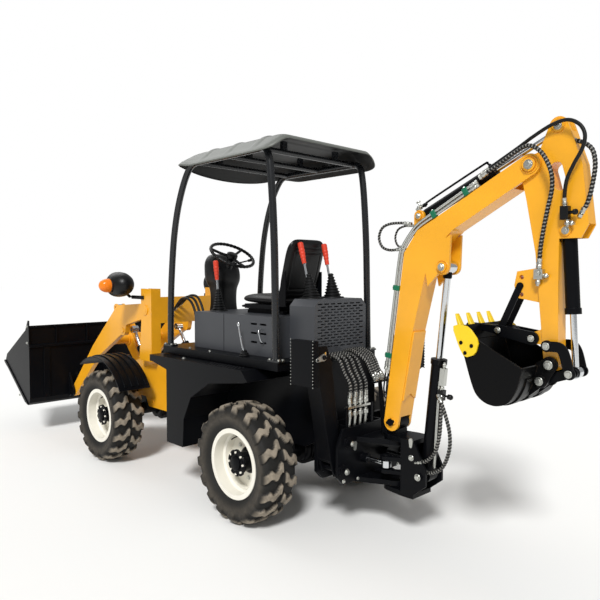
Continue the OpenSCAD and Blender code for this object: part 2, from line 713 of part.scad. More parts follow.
// Stick: upper lug, pivot boss, cylinder bracket and bucket end, as offsets from the boom's tip
stick_half = stick_w / 2;
head_slot = [46, -52];
module stick_outline2d() difference() {
  union() {
    polygon([for (p = [
      [-92, 186], [-40, 60], [50, 30], [52, -40], [22, -169], [-30, -440], [-66, -820], [-81, -985],
      [-153, -985], [-146, -600], [-146, -372], [-252, -372], [-285, -310], [-250, -20],
      [-180, 180]]) boom_tip + p]);
    disc2d(boom_tip, 56);
    disc2d(stick_eye, 46);
    disc2d(hoe_hinge, 36);
    disc2d(guide_pin, 40);
  }
  link2d(boom_tip + [-128, -30], boom_tip + [-150, -110], 30, 30);
}
module stick() color(YELLOW) difference() {
  union() {
    along_y(-stick_half, stick_half) stick_outline2d();
    both_sides() {
      pin_y(stick_eye, 30, stick_half, stick_half + 8);
      pin_y(hoe_base, 26, stick_half, stick_half + 8);
    }
    along_y(-34, 34) difference() {
      polygon([for (p = [[-60, -510], [70, -530], [84, -600], [70, -665], [-75, -690]]) boom_tip + p]);
      for (p = [[46, -560], [52, -604], [46, -648]]) disc2d(boom_tip + p, 12);
    }
    pin_y(hoe_base, 18, -stick_half, stick_half);
    along_y(-thumb_lug, thumb_lug) link2d(thumb_pin, thumb_pin + [-80, 16], 28, 44);
  }
  pin_y(thumb_pin, 16 + run_gap, -stick_w, stick_w);
  pin_y(boom_tip, tip_pin_r + run_gap, -stick_w, stick_w);
  pin_y(hoe_hinge, 20 + run_gap, -stick_w, stick_w);
  pin_y(guide_pin, 16 + run_gap, -stick_w, stick_w);
  along_y(-27, 27) link2d(stick_eye, stick_eye + head_slot, 64, 52);
  difference() {
    along_y(-38, 38) union() {
      disc2d(hoe_base, 62);
      polygon([for (p = [[-153, -320], [-153, -500], [-330, -500], [-330, -300]]) boom_tip + p]);
    }
    pin_y(hoe_base, 18, -stick_w, stick_w);
  }
}

// Thumb: cheeks on the stick's lug, two fingers that pass between the teeth, and the bars that hold it
module thumb() color(BLACK) {
  both_sides() {
    along_y(thumb_lug + run_gap, thumb_lug + 14) link2d(thumb_pin, thumb_mid, 34, 28);
    along_y(8, 22) link2d(thumb_mid - [60, 10], thumb_tip, 30, 12);
    along_y(34 + run_gap, thumb_lug) link2d(thumb_bar_pin, thumb_mid, 18, 18);
  }
  pin_y(thumb_mid, 14, -thumb_lug - 22, thumb_lug + 22);
  pin_y(thumb_pin, 16, -thumb_lug - 22, thumb_lug + 22);
  pin_y(thumb_bar_pin, 11.7, -thumb_lug - 8, thumb_lug + 8);
}

// Stick cylinder
module stick_barrel() color(BLACK) barrel_y(stick_base, stick_eye, 34, 500, 32, 18, 30, 16);
module stick_rod() color(CHROME) rod_y(stick_base, stick_eye, 16, 500, 32, 16, 22, 120);

// Digging bucket: wrapper, side plates and ears, outline as offsets from the bucket hinge
hoe_half = hoe_w / 2;
ear_half = 66;
ear_in = 49;
bucket_out = [[418, 175], [322, -134], [255, -205], [188, -213], [98, -172], [55, -10]];
module hoe_profile2d() polygon([for (p = bucket_out) hoe_hinge + p]);
module hoe_bucket() color(BLACK) {
  difference() {
    along_y(-hoe_half, hoe_half) hoe_profile2d();
    along_y(-hoe_half + hoe_plate, hoe_half - hoe_plate) polygon([for (p = [
      [430, 190], [404, 130], [311, -126], [248, -191], [190, -198], [110, -162], [70, -10],
      [60, 20]]) hoe_hinge + p]);
  }
  both_sides() along_y(ear_in, ear_half) {
    link2d(hoe_hinge, hoe_link_pin, 40, 36);
    polygon([
      hoe_hinge + [0, 40], hoe_hinge + [66, 4], hoe_hinge + [104, -172],
      hoe_link_pin + [0, -36], hoe_link_pin]);
  }
  pin_y(hoe_hinge, 20, -ear_half - 10, ear_half + 10);
  pin_y(hoe_link_pin, 18, -ear_half - 10, ear_half + 10);
}

module hoe_teeth() color(BRIGHT_YELLOW) {
  pitch = (hoe_w - 2 * hoe_plate + 4) / hoe_teeth_count;
  for (i = [0 : hoe_teeth_count - 1]) {
    y = (i - (hoe_teeth_count - 1) / 2) * pitch;
    along_y(y - 22, y + 22)
      polygon([for (p = [[405, 128], [452, 226], [440, 234], [388, 134]]) hoe_hinge + p]);
  }
  both_sides() along_y(hoe_half, hoe_half + 12)
    polygon([for (p = [[424, 205], [336, -30], [300, -28], [262, 30], [270, 90], [350, 160]]) hoe_hinge + p]);
}

// Bucket linkage
guide_in = 71;
guide_out = 85;
module guide_links() color(BLACK) {
  both_sides() {
    along_y(guide_in, guide_out) {
      link2d(guide_pin, guide_pin + [-76, -20], 28, 26);
      link2d(guide_pin + [-76, -20], link_joint, 26, 28);
    }
    pin_y(link_joint, 15, 44, guide_in + 1);
    pin_y(link_joint, 22, guide_out, guide_out + 8);
    pin_y(guide_pin, 22, guide_out, guide_out + 8);
  }
  pin_y(guide_pin, 16, -guide_out, guide_out);
}
module hoe_link() color(BLACK) difference() {
  union() {
    both_sides() along_y(26, 42) link2d(link_joint, hoe_link_pin, 24, 24);
    pin_y(hoe_link_pin, 26, -42, 42);
  }
  pin_y(hoe_link_pin, 18 + run_gap, -50, 50);
  pin_y(link_joint, 15, -50, 50);
}
module hoe_barrel() color(BLACK) barrel_y(hoe_base, link_joint, 34, 405, 34, 18, 34, 16);
module hoe_rod() color(CHROME) rod_y(hoe_base, link_joint, 16, 405, 30, 15, 22, 160);

// Front frame: side plates with loader towers, cross plates, and steering ears
front_bottom = 530;
front_rear_x = steer_x + 150;
front_front_x = front_axle_x + 130;
tower_x = arm_pivot[0];
arm_pin_r = 25;
front_ear_t = 40;
front_ear_z = [upper_ear_z - front_ear_t - side_gap, lower_ear_z + ear_t + side_gap];
crank_half = 46;
module front_frame() color(YELLOW) difference() {
  union() {
    both_sides() {
      along_y(tower_in, tower_in + front_plate_t) polygon([
        [front_rear_x, 450], [lift_base[0] + 60, 450], [lift_base[0] + 110, front_bottom],
        [front_front_x, front_bottom],
        [front_front_x, 780], [tower_x + 140, 880], [tower_x + 70, 1180], [tower_x + 70, tower_z],
        [tower_x - 75, tower_z], [tower_x - 95, 880], [front_rear_x, 800]]);
      along_y(tower_out - front_plate_t, tower_out) polygon([
        [tower_x + 110, 860], [tower_x + 70, 1180], [tower_x + 70, tower_z], [tower_x - 75, tower_z],
        [tower_x - 95, 860]]);
      box([tower_x - 95, tower_in, 860], [tower_x - 75, tower_out, tower_z]);
      box([tower_x - 95, tower_in, 860], [tower_x + 110, tower_out, 876]);
      pin_y(arm_pivot, arm_pin_r, tower_in - 8, tower_out + 10);
      pin_y(arm_pivot, 42, tower_out, tower_out + 8);
      pin_y(lift_base, 20, tower_in - 66, tower_in + front_plate_t + 8);
    }
    box([front_rear_x, -tower_in, 450], [front_rear_x + 20, tower_in, 800]);
    box([lift_base[0] + 100, -tower_in, front_bottom], [front_front_x, tower_in, front_bottom + 16]);
    box([front_front_x - 16, -tower_in, front_bottom], [front_front_x, tower_in, 780]);
    box([tower_x - 95, -tower_in, 1180], [tower_x - 70, tower_in, 1400]);
    both_sides() along_y(40, 56) {
      disc2d(arm_pivot, 46);
      polygon([arm_pivot + [-80, 90], arm_pivot + [0, 46], arm_pivot + [0, -46], arm_pivot + [-80, -90]]);
    }
    pin_y(arm_pivot, 20, -56, 56);
    for (z = front_ear_z) along_z(z, z + front_ear_t) {
      translate([steer_x, 0]) circle(steer_ear_r);
      polygon([
        [front_rear_x + 1, -130], [steer_x, -steer_ear_r], [steer_x, steer_ear_r], [front_rear_x + 1, 130]]);
    }
  }
  translate([steer_x, 0, 0]) cylinder(r = steer_pin_r + run_gap, h = 900);
}

// Front fenders: ribbed arcs over the wheels, on brackets from the frame
fender_r = 500;
fender_bar_z = axle_z + fender_r - 330;
fender_t = 8;
fender_side = 13;
fender_in = (track - tyre_w) / 2 - fender_side;
fender_out = (track + tyre_w) / 2 - 1;
module fender_arc2d(r, t, a0, a1) difference() {
  circle(r + t);
  circle(r);
  rotate(a0) translate([-1000, -2000]) square([2000, 2000]);
  rotate(a1) translate([-1000, 0]) square([2000, 2000]);
}
module front_fenders() color(BLACK) both_sides() {
  translate([front_axle_x, 0, axle_z]) {
    along_y(fender_in, fender_out) fender_arc2d(fender_r, fender_t, 55, 148);
    for (y = [fender_in + 20 : 62 : fender_out - 20])
      along_y(y, y + 18) fender_arc2d(fender_r, fender_t + 10, 58, 145);
  }
  box([front_axle_x - 60, tower_in + front_plate_t, fender_bar_z],
    [front_axle_x - 20, fender_in + 6, fender_bar_z + 40]);
  box([front_axle_x - 60, fender_in - 24, fender_bar_z], [front_axle_x - 20, fender_in, axle_z + fender_r + 2]);
}

// Lamps on brackets from the towers
lamp_at = [front_axle_x - 120, 500, 1510];
lamp_r = 82;
lens_y = lamp_at[1] + lamp_r + 8;
module lamp_housings() color(BLACK) both_sides() {
  translate(lamp_at) rotate([0, 90, 0]) rotate_extrude() polygon([
    [0, -110], [40, -104], [70, -70], [lamp_r, -10], [lamp_r, 40], [0, 40]]);
  pin_y([lamp_at[0], lamp_at[2] - 10], 38, lamp_at[1] + 40, lens_y);
  bar([lamp_at[0], tower_out + 30, 1398], lamp_at + [0, -20, -50], 12);
  box([lamp_at[0] - 14, tower_out + run_gap, 1392], [lamp_at[0] + 14, tower_out + 40, 1404]);
  box([tower_x + 20, tower_out + run_gap, 1380], [lamp_at[0] + 14, tower_out + 10, 1410]);
}
module indicator_lenses() color(AMBER) both_sides()
  translate([lamp_at[0], lens_y + run_gap, lamp_at[2] - 10]) rotate([-90, 0, 0])
    cylinder(r1 = 36, r2 = 24, h = 46);

// Lift arms: two bent plates with bosses and a cross tube for the bellcrank; outline as [x, z] from the pivot
arm_in = arm_y - arm_t / 2;
arm_out = arm_y + arm_t / 2;
hinge_pin_r = 22;
module lift_arms() color(YELLOW) difference() {
  union() {
    both_sides() {
      along_y(arm_in, arm_out) {
        disc2d(arm_pivot, 58);
        disc2d(bucket_hinge, 48);
        disc2d(lift_eye, 46);
        polygon([for (p = [
          [0, 58], [540, 20], [1040, -390], [1516, -863], [1446, -926], [920, -480], [480, -246],
          [400, -222], [380, -150], [0, -58]]) arm_pivot + p]);
      }
      pin_y(lift_eye, 24, arm_out, arm_out + 8);
    }
    pin_y(crank_pivot, 50, -arm_in - 1, arm_in + 1);
  }
  pin_y(arm_pivot, arm_pin_r + run_gap, -500, 500);
  both_sides() pin_y(bucket_hinge, hinge_pin_r + run_gap, arm_in - 1, arm_out + 1);
}

// Loader bucket: wrapper with a round heel, side plates, lugs and a spill guard
module loader_side2d() polygon([for (p = [
  [65, 690], [65, -34], [82, -78], [120, -104], [172, -93], [740, 265], [690, 355]]) bucket_hinge + p]);
module loader_inside2d() polygon([for (p = [
  [79, 760], [79, -30], [94, -70], [126, -88], [166, -78], [760, 290], [760, 760]]) bucket_hinge + p]);
module loader_bucket() color(BLACK) {
  difference() {
    along_y(-loader_w / 2, loader_w / 2) loader_side2d();
    along_y(-loader_w / 2 + loader_plate, loader_w / 2 - loader_plate) loader_inside2d();
  }
  along_y(-loader_w / 2, loader_w / 2) polygon([for (p = [
    [700, 222], [780, 272], [770, 286], [690, 240]]) bucket_hinge + p]);
  both_sides() for (y = [arm_in - side_gap - 18, arm_out + side_gap]) along_y(y, y + 18) {
    disc2d(bucket_hinge, 44);
    polygon([for (p = [[-40, 20], [66, 190], [66, -40], [90, -76], [30, -32]]) bucket_hinge + p]);
  }
  both_sides() along_y(30, crank_half) {
    disc2d(bucket_link_pin, 38);
    polygon([for (p = [[-60, 228], [66, 300], [66, 60], [-60, 152]]) bucket_hinge + p]);
  }
  both_sides() pin_y(bucket_hinge, hinge_pin_r, arm_in - side_gap - 18, arm_out + side_gap + 26);
}

// Lift cylinders on both sides, tilt cylinder in the middle
lift_y = arm_y - 95;
module lift_barrels() color(BLACK) both_sides() barrel_y(lift_base, lift_eye, 32, 540, 34, 20, 30, 15, lift_y);
module lift_rods() color(CHROME) both_sides() rod_y(lift_base, lift_eye, 15, 540, 32, 16, 30, 420, lift_y);
module bellcrank() color(YELLOW) difference() {
  union() {
    both_sides() along_y(30, crank_half) {
      link2d(crank_pivot, crank_top, 78, 40);
      link2d(crank_pivot, crank_low, 78, 40);
    }
    pin_y(crank_pivot, 66, -60, 60);
    pin_y(crank_low, 18, -crank_half - 8, crank_half + 8);
  }
  pin_y(crank_pivot, 50 + run_gap, -100, 100);
  both_sides() pin_y(crank_top, 16, 20, crank_half + 1);
}
module loader_link() color(BLACK) difference() {
  along_y(-24, 24) link2d(crank_low, bucket_link_pin, 36, 34);
  pin_y(crank_low, 18 + run_gap, -30, 30);
  pin_y(bucket_link_pin, 16, -30, 30);
}
module tilt_barrel() color(BLACK) barrel_y(arm_pivot, crank_top, 38, 640, 38, 20, 36, 18);
module tilt_rod() color(CHROME) rod_y(arm_pivot, crank_top, 18, 640, 34, 16, 24, 185);

// Stabilizers: a channel leg with a toothed pad, and its cylinder between the leg's flanges
leg_flange_t = 12;
module leg_outline2d() polygon([
  leg_pin + [-34, -20], leg_pin + [30, -30], leg_pin + [60, 60], leg_pin + [186, 680], leg_pin + [168, 760],
  leg_pin + [96, 760], leg_pin + [52, 660], leg_pin + [-24, 60]]);
module stab_leg(side) color(BLACK) on_side(side) difference() {
  union() {
    for (s = [-1, 1]) along_x(leg_x + s * (leg_inside + leg_flange_t) / 2 - leg_flange_t / 2,
      leg_x + s * (leg_inside + leg_flange_t) / 2 + leg_flange_t / 2) {
      leg_outline2d();
      disc2d(leg_pin, 40);
    }
    along_x(leg_x - leg_inside / 2 - 1, leg_x + leg_inside / 2 + 1)
      polygon([leg_pin + [46, 40], leg_pin + [60, 60], leg_pin + [186, 680], leg_pin + [168, 760],
        leg_pin + [156, 755], leg_pin + [172, 680], leg_pin + [46, 64]]);
    along_x(leg_x - 90, leg_x + 90) polygon([
      leg_pin + [196, 530], leg_pin + [214, 530], leg_pin + [222, 800], leg_pin + [204, 800]]);
    for (s = [-1, 1]) along_x(leg_x + s * 40 - 8, leg_x + s * 40 + 8)
      polygon([leg_pin + [150, 560], leg_pin + [200, 550], leg_pin + [208, 780], leg_pin + [160, 750]]);
    for (i = [0 : 5]) along_x(leg_x - 90 + i * 33, leg_x - 75 + i * 33)
      polygon([leg_pin + [212, 530], leg_pin + [240, 545], leg_pin + [244, 790], leg_pin + [220, 800]]);
  }
  pin_x(leg_pin, 20 + run_gap, leg_x - 200, leg_x + 200);
  pin_x(leg_eye, 16, leg_x - 200, leg_x + 200);
}
module stab_leg_left() stab_leg(1);
module stab_leg_right() stab_leg(-1);

stab_barrel_len = 440;
module stab_barrel(side) color(BLACK) on_side(side) {
  u = (leg_eye - leg_base) / norm(leg_eye - leg_base);
  start = leg_base + u * 22;
  gland = leg_base + u * stab_barrel_len;
  bore = leg_base + u * 60;
  difference() {
    union() {
      pin_x(leg_base, 32, leg_x - 34, leg_x + 34);
      bar([leg_x, start[0], start[1]], [leg_x, gland[0], gland[1]], 32);
    }
    pin_x(leg_base, 20 + run_gap, leg_x - 40, leg_x + 40);
    bar([leg_x, bore[0], bore[1]], [leg_x, gland[0] + u[0], gland[1] + u[1]], 14 + run_gap);
  }
}
module stab_rod(side) color(CHROME) on_side(side) {
  u = (leg_eye - leg_base) / norm(leg_eye - leg_base);
  start = leg_base + u * (stab_barrel_len - 340);
  neck = leg_eye - u * 20;
  difference() {
    union() {
      pin_x(leg_eye, 28, leg_x - 26, leg_x + 26);
      bar([leg_x, start[0], start[1]], [leg_x, neck[0], neck[1]], 14);
    }
    pin_x(leg_eye, 16, leg_x - 40, leg_x + 40);
  }
}
module stab_barrel_left() stab_barrel(1);
module stab_barrel_right() stab_barrel(-1);
module stab_rod_left() stab_rod(1);
module stab_rod_right() stab_rod(-1);

rear_frame();
rear_axle();
engine();
side_tank_left();
side_tank_right();
hood();
radiator_hood();
radiator();
canopy_posts();
canopy_roof();
seat();
steering_console();
control_levers();
backhoe_frame();
front_frame();
front_axle();
front_fenders();
lamp_housings();
indicator_lenses();
rim_front_left();
rim_front_right();
rim_rear_left();
rim_rear_right();
tyre_front_left();
tyre_front_right();
tyre_rear_left();
tyre_rear_right();
lift_arms();
loader_bucket();
lift_barrels();
lift_rods();
bellcrank();
loader_link();
tilt_barrel();
tilt_rod();
swing_post();
swing_rod_left();
swing_rod_right();
boom();
boom_pipes();
boom_barrel();
boom_rod();
stick();
thumb();
stick_barrel();
stick_rod();
hoe_bucket();
hoe_teeth();
guide_links();
hoe_link();
hoe_barrel();
hoe_rod();
stab_leg_left();
stab_leg_right();
stab_barrel_left();
stab_barrel_right();
stab_rod_left();
stab_rod_right();
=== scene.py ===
"""Looks of a compact articulated backhoe loader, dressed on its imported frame.

Metres, +X forward, +Y to the machine's left, +Z up, ground at z = 0.
"""
import json
import math

import bmesh
import bpy
import numpy as np
from mathutils import Matrix, Vector


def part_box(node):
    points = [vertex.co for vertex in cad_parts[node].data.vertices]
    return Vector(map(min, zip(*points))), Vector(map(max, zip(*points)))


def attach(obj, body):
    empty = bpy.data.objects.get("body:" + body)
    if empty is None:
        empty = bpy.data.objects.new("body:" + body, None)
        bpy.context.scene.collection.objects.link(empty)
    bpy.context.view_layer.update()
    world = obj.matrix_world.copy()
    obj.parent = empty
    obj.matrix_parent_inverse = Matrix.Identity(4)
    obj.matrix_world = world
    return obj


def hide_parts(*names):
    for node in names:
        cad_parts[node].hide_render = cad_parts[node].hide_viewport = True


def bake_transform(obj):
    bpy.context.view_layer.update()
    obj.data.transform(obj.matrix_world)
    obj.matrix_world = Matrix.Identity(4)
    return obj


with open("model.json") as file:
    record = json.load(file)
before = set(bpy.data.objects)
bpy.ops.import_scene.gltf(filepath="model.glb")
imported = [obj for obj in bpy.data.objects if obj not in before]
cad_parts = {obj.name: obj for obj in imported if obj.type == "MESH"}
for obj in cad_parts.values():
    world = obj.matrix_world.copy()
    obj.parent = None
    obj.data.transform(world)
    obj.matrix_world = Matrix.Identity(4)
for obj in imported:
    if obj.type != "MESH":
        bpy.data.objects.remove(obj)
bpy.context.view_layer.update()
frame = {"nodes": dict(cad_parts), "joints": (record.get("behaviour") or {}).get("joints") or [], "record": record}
NODES = frame["nodes"]
JOINTS = {j["name"]: j for j in frame["joints"]}


def at_joint(name):
    """A joint's point in the rest pose."""
    return np.array(JOINTS[name]["pos_m"], float)


# Camera and light

CAMERA_PLACE = (-3.984, 3.011, 1.598)
CAMERA_AHEAD = (0.71745, -0.69526, -0.04335)
PHOTO_SIDE = 600
FOCAL_PIXELS = 609.9
SENSOR = 36.0
SKY_LIGHT = 0.40
# Suns: name, direction of the light, strength, spread in degrees
LAMPS = (("key", (0.42, -0.60, -0.68), 2.8, 12), ("fill", (-0.75, 0.1, -0.65), 0.6, 40))


def make_camera():
    """Perspective camera at the photograph's place: the lens is sensor width times focal pixels over image
    width."""
    data = bpy.data.cameras.new("camera")
    data.sensor_width = SENSOR
    data.lens = SENSOR * FOCAL_PIXELS / PHOTO_SIDE
    camera = bpy.data.objects.new("camera", data)
    bpy.context.collection.objects.link(camera)
    ahead = np.array(CAMERA_AHEAD)
    right = np.cross(ahead, (0, 0, 1))
    right /= np.linalg.norm(right)
    up = np.cross(right, ahead)
    matrix = np.eye(4)
    matrix[:3, 0], matrix[:3, 1], matrix[:3, 2], matrix[:3, 3] = right, up, -ahead, CAMERA_PLACE
    camera.matrix_world = Matrix(matrix.tolist())
    bpy.context.scene.camera = camera


make_camera()
bpy.context.scene.view_settings.view_transform = "Standard"


def linear(hex_colour):
    """sRGB hex to linear RGBA: (c / 12.92) below 0.04045, else ((c + 0.055) / 1.055) to the power 2.4."""
    c = np.array([int(hex_colour[i:i + 2], 16) for i in (1, 3, 5)]) / 255
    c = np.where(c <= 0.04045, c / 12.92, ((c + 0.055) / 1.055) ** 2.4)
    return (*c.tolist(), 1.0)


def add(tree, kind, inputs=None, **settings):
    """Adds a node: settings are its properties; each input is a value to set or a socket to link."""
    node = tree.nodes.new(kind)
    for key, value in settings.items():
        setattr(node, key, value)
    for key, value in (inputs or {}).items():
        if isinstance(value, bpy.types.NodeSocket):
            tree.links.new(value, node.inputs[key])
        else:
            node.inputs[key].default_value = value
    return node


def new_material(name):
    """An empty node material and its tree."""
    material = bpy.data.materials.new(name)
    material.use_nodes = True
    material.node_tree.nodes.clear()
    return material, material.node_tree


def carried(tree, value, low, high, first=0.0, last=1.0):
    """A value carried from the range low to high onto first to last, and held at its ends."""
    inputs = {"Value": value, "From Min": low, "From Max": high, "To Min": first, "To Max": last}
    return add(tree, "ShaderNodeMapRange", inputs).outputs["Result"]


def make_world():
    """White where the camera sees it, also through glass; a softer white for the light on the machine."""
    world = bpy.data.worlds.new("studio")
    bpy.context.scene.world = world
    world.use_nodes = True
    tree = world.node_tree
    tree.nodes.clear()
    path = add(tree, "ShaderNodeLightPath")
    rays = {0: path.outputs["Is Camera Ray"], 1: path.outputs["Is Transmission Ray"]}
    seen = add(tree, "ShaderNodeMath", rays, operation="MAXIMUM").outputs[0]
    strength = carried(tree, seen, 0.0, 1.0, SKY_LIGHT, 1.0)
    sky = add(tree, "ShaderNodeBackground", {"Color": linear("#ffffff"), "Strength": strength})
    add(tree, "ShaderNodeOutputWorld", {"Surface": sky.outputs[0]})


def make_lamps():
    """A large key behind the camera's left shoulder, and a wide fill from the front."""
    for name, toward, strength, spread in LAMPS:
        data = bpy.data.lights.new(name, "SUN")
        data.energy = strength
        data.angle = math.radians(spread)
        lamp = bpy.data.objects.new(name, data)
        lamp.rotation_mode = "QUATERNION"
        lamp.rotation_quaternion = Vector(toward).to_track_quat("-Z", "Y")
        bpy.context.collection.objects.link(lamp)


make_world()
make_lamps()

# Materials

PAINT_EDGE = 0.0025
METAL_EDGE = 0.001
MOULD_EDGE = 0.002


def noise(tree, scale, detail, roughness=0.5):
    """Fractal noise in the piece's own coordinates, from 0 to 1."""
    place = add(tree, "ShaderNodeTexCoord").outputs["Object"]
    inputs = {"Vector": place, "Scale": scale, "Detail": detail, "Roughness": roughness}
    return add(tree, "ShaderNodeTexNoise", inputs).outputs["Fac"]


def product(tree, first, second):
    """Two numbers multiplied."""
    return add(tree, "ShaderNodeMath", {0: first, 1: second}, operation="MULTIPLY").outputs[0]


def shaded(tree, colour, share):
    """A colour scaled by a share."""
    inputs = {0: linear(colour)[:3], "Scale": share}
    return add(tree, "ShaderNodeVectorMath", inputs, operation="SCALE").outputs[0]


def rounded(tree, radius):
    """Normals as if every edge were rounded by a radius."""
    return add(tree, "ShaderNodeBevel", {"Radius": radius}, samples=4).outputs[0]


def mixed(tree, share, first, second):
    """Two colours blended: the second one's share is given."""
    return add(tree, "ShaderNodeMixRGB", {"Fac": share, "Color1": first, "Color2": second}).outputs[0]


def bumped(tree, height, strength, distance, **normal):
    """Normals tilted by the slope of a height."""
    inputs = {"Height": height, "Strength": strength, "Distance": distance, **normal}
    return add(tree, "ShaderNodeBump", inputs).outputs[0]


def finish_surface(material, inputs):
    """Ends a material's tree with a Principled surface of these inputs."""
    shader = add(material.node_tree, "ShaderNodeBsdfPrincipled", inputs)
    add(material.node_tree, "ShaderNodeOutputMaterial", {"Surface": shader.outputs[0]})
    return material


def paint(name, colour, worn, roughness, grain_mm, wear=0.35, coat=0.0, shine=0.5):
    """Sprayed enamel on steel plate: orange peel, a little tone drift, and edges and creases blended in patches
    towards the worn colour, partly edge wear and partly a painted edge highlight.
    """
    material, tree = new_material(name)
    drift = noise(tree, 3.2, 4.0, 0.6)
    speck = noise(tree, 60.0, 5.0, 0.7)
    peel = noise(tree, 1000 / grain_mm, 1.0)
    edges = rounded(tree, PAINT_EDGE)
    flat = add(tree, "ShaderNodeNewGeometry").outputs["Normal"]
    facing = add(tree, "ShaderNodeVectorMath", {0: edges, 1: flat}, operation="DOT_PRODUCT")
    edge = carried(tree, facing.outputs["Value"], 0.985, 0.80)
    # Edges and creases take the worn colour in patches: partly edge wear, partly a painted highlight along the
    # edges
    edge_wear_and_highlight = product(tree, edge, carried(tree, speck, 0.45, 0.7, 0.0, wear))
    body = shaded(tree, colour, carried(tree, drift, 0.3, 0.7, 0.89, 1.02))
    return finish_surface(material, {
        "Base Color": mixed(tree, edge_wear_and_highlight, body, linear(worn)),
        "Roughness": carried(tree, speck, 0.0, 1.0, roughness - 0.06, roughness + 0.10),
        "Normal": bumped(tree, peel, 0.06, 0.001, Normal=edges),
        "Coat Weight": coat, "Coat Roughness": 0.12, "Specular IOR Level": shine})


def metal(name, colour, roughness, scratch_mm):
    """Bare or plated steel: bright, with fine turning marks that break the gloss."""
    material, tree = new_material(name)
    marks = noise(tree, 1000 / scratch_mm, 3.0)
    return finish_surface(material, {
        "Base Color": linear(colour), "Metallic": 1.0,
        "Roughness": carried(tree, marks, 0.0, 1.0, roughness * 0.7, roughness * 1.4),
        "Normal": bumped(tree, marks, 0.05, 0.0005, Normal=rounded(tree, METAL_EDGE))})


def moulded(name, colour, roughness, grain_mm, depth):
    """Moulded plastic or rubber: a pebbled skin, and a dull bloom in patches."""
    material, tree = new_material(name)
    place = add(tree, "ShaderNodeTexCoord").outputs["Object"]
    inputs = {"Vector": place, "Scale": 1000 / grain_mm}
    cells = add(tree, "ShaderNodeTexVoronoi", inputs, feature="SMOOTH_F1")
    bloom = noise(tree, 9.0, 5.0)
    return finish_surface(material, {
        "Base Color": shaded(tree, colour, carried(tree, bloom, 0.3, 0.7, 0.92, 1.08)),
        "Roughness": carried(tree, bloom, 0.0, 1.0, roughness - 0.08, roughness + 0.08),
        "Normal": bumped(tree, cells.outputs["Distance"], depth, 0.0008, Normal=rounded(tree, MOULD_EDGE)),
        "Specular IOR Level": 0.28})


def dusted(name, colour, dust, attribute, roughness, grain_mm):
    """Moulded rubber or plastic with dust where the piece's own attribute is 1, broken up by noise."""
    material, tree = new_material(name)
    marked = add(tree, "ShaderNodeAttribute", attribute_name=attribute).outputs["Fac"]
    patch = carried(tree, noise(tree, 26.0, 6.0, 0.65), 0.30, 0.60, 0.50, 1.0)
    return finish_surface(material, {
        "Base Color": mixed(tree, product(tree, marked, patch), linear(colour), linear(dust)),
        "Roughness": roughness, "Specular IOR Level": 0.35,
        "Normal": bumped(tree, noise(tree, 1000 / grain_mm, 2.0), 0.25, 0.001)})


# Alkyd enamel over steel plate, sprayed: deep amber with a wet gloss
YELLOW = paint("alkyd_enamel_yellow", "#f4ac1f", "#f9cf70", 0.30, 2.2, coat=0.2)
# The same enamel in black, half gloss: its edges painted grey in patches, partly as wear and partly as a painted
# highlight
BLACK = paint("alkyd_enamel_black", "#0a0b0e", "#4c4d50", 0.30, 2.0, wear=0.6, shine=0.09)
# The same black on the bucket, its edges painted brown in patches: partly wear, partly a painted brown sheen
BUCKET_BLACK = paint("alkyd_enamel_black_worn", "#0a0a0b", "#6d5a44", 0.28, 2.0, wear=0.8, shine=0.09)
# Powder coat on the canopy's tubes: graphite, half gloss
GRAPHITE = paint("powder_coat_graphite", "#15171a", "#505356", 0.25, 1.6)
# Powder coat in charcoal, satin
CHARCOAL = paint("powder_coat_charcoal", "#3f4145", "#74767a", 0.40, 1.6)
# Stove enamel on pressed wheels: chalky white with dull gloss
RIM_WHITE = paint("stove_enamel_white", "#f1ede0", "#c9c4b6", 0.38, 2.0)
# Bright tooth enamel
TOOTH = paint("alkyd_enamel_lemon", "#f5cf12", "#fae27c", 0.34, 2.0)
# Glass-fibre roof with a gel coat
ROOF = paint("gel_coat_grey", "#6a6d68", "#b4b6b1", 0.42, 4.0)
# Hard chrome on ground rods
CHROME = metal("hard_chrome", "#d3d6d9", 0.13, 3.0)
# Zinc plate on pins, bolts and fittings
ZINC = metal("zinc_plate", "#c2c3bd", 0.32, 1.5)
# Grey iron, as cast
IRON = paint("cast_iron", "#46474a", "#6a6b6e", 0.6, 3.0)
# Rolled aluminium fins
FINS = metal("rolled_aluminium", "#6f7276", 0.45, 1.0)
# Carbon black tyre rubber, moulded
TYRE = dusted("tyre_rubber", "#171614", "#968b7b", "dust", 0.72, 3.0)
# Black polypropylene, grained
PLASTIC = moulded("polypropylene_black", "#0a0b0c", 0.36, 1.2, 0.30)
# Vinyl seat cover, leather grain
VINYL = moulded("vinyl_black", "#080809", 0.36, 2.5, 0.4)
# Amber lens, acrylic
AMBER = moulded("acrylic_amber", "#f2801a", 0.2, 6.0, 0.1)
# Red grip, polypropylene
RED = moulded("polypropylene_red", "#d0402a", 0.4, 1.5, 0.2)
# Bellows and hose cover rubber
RUBBER = moulded("nitrile_rubber", "#0d0e0f", 0.5, 2.0, 0.3)
# Underside of the roof: a near-black paint, painted shade for the shadow under the roof
ROOF_UNDERSIDE_SHADE = paint("flow_coat_dark", "#0d0e0d", "#191a18", 0.55, 6.0)
# Green nylon pipe clamps
GREEN = moulded("nylon_green", "#176b4d", 0.45, 1.5, 0.2)
# Hose in a black spiral guard: pale grit lies in the winding's hollows
BRAID = dusted("polyamide_guard", "#0b0b0c", "#aeaca5", "fleck", 0.42, 1.2)

SLOT_MATERIALS = {
    "yellow_paint": YELLOW, "black_paint": BLACK, "charcoal_paint": CHARCOAL, "engine_iron": IRON,
    "core_aluminium": FINS, "roof_panel": ROOF, "seat_vinyl": VINYL, "black_plastic": PLASTIC,
    "amber_plastic": AMBER, "rim_paint": RIM_WHITE, "tyre_rubber": TYRE, "rod_chrome": CHROME,
    "pipe_steel": ZINC, "tooth_paint": TOOTH,
}
for part in frame["record"]["subparts"]:
    node = NODES[part["node"]]
    node.data.materials.clear()
    node.data.materials.append(SLOT_MATERIALS[part["material_slot"]])
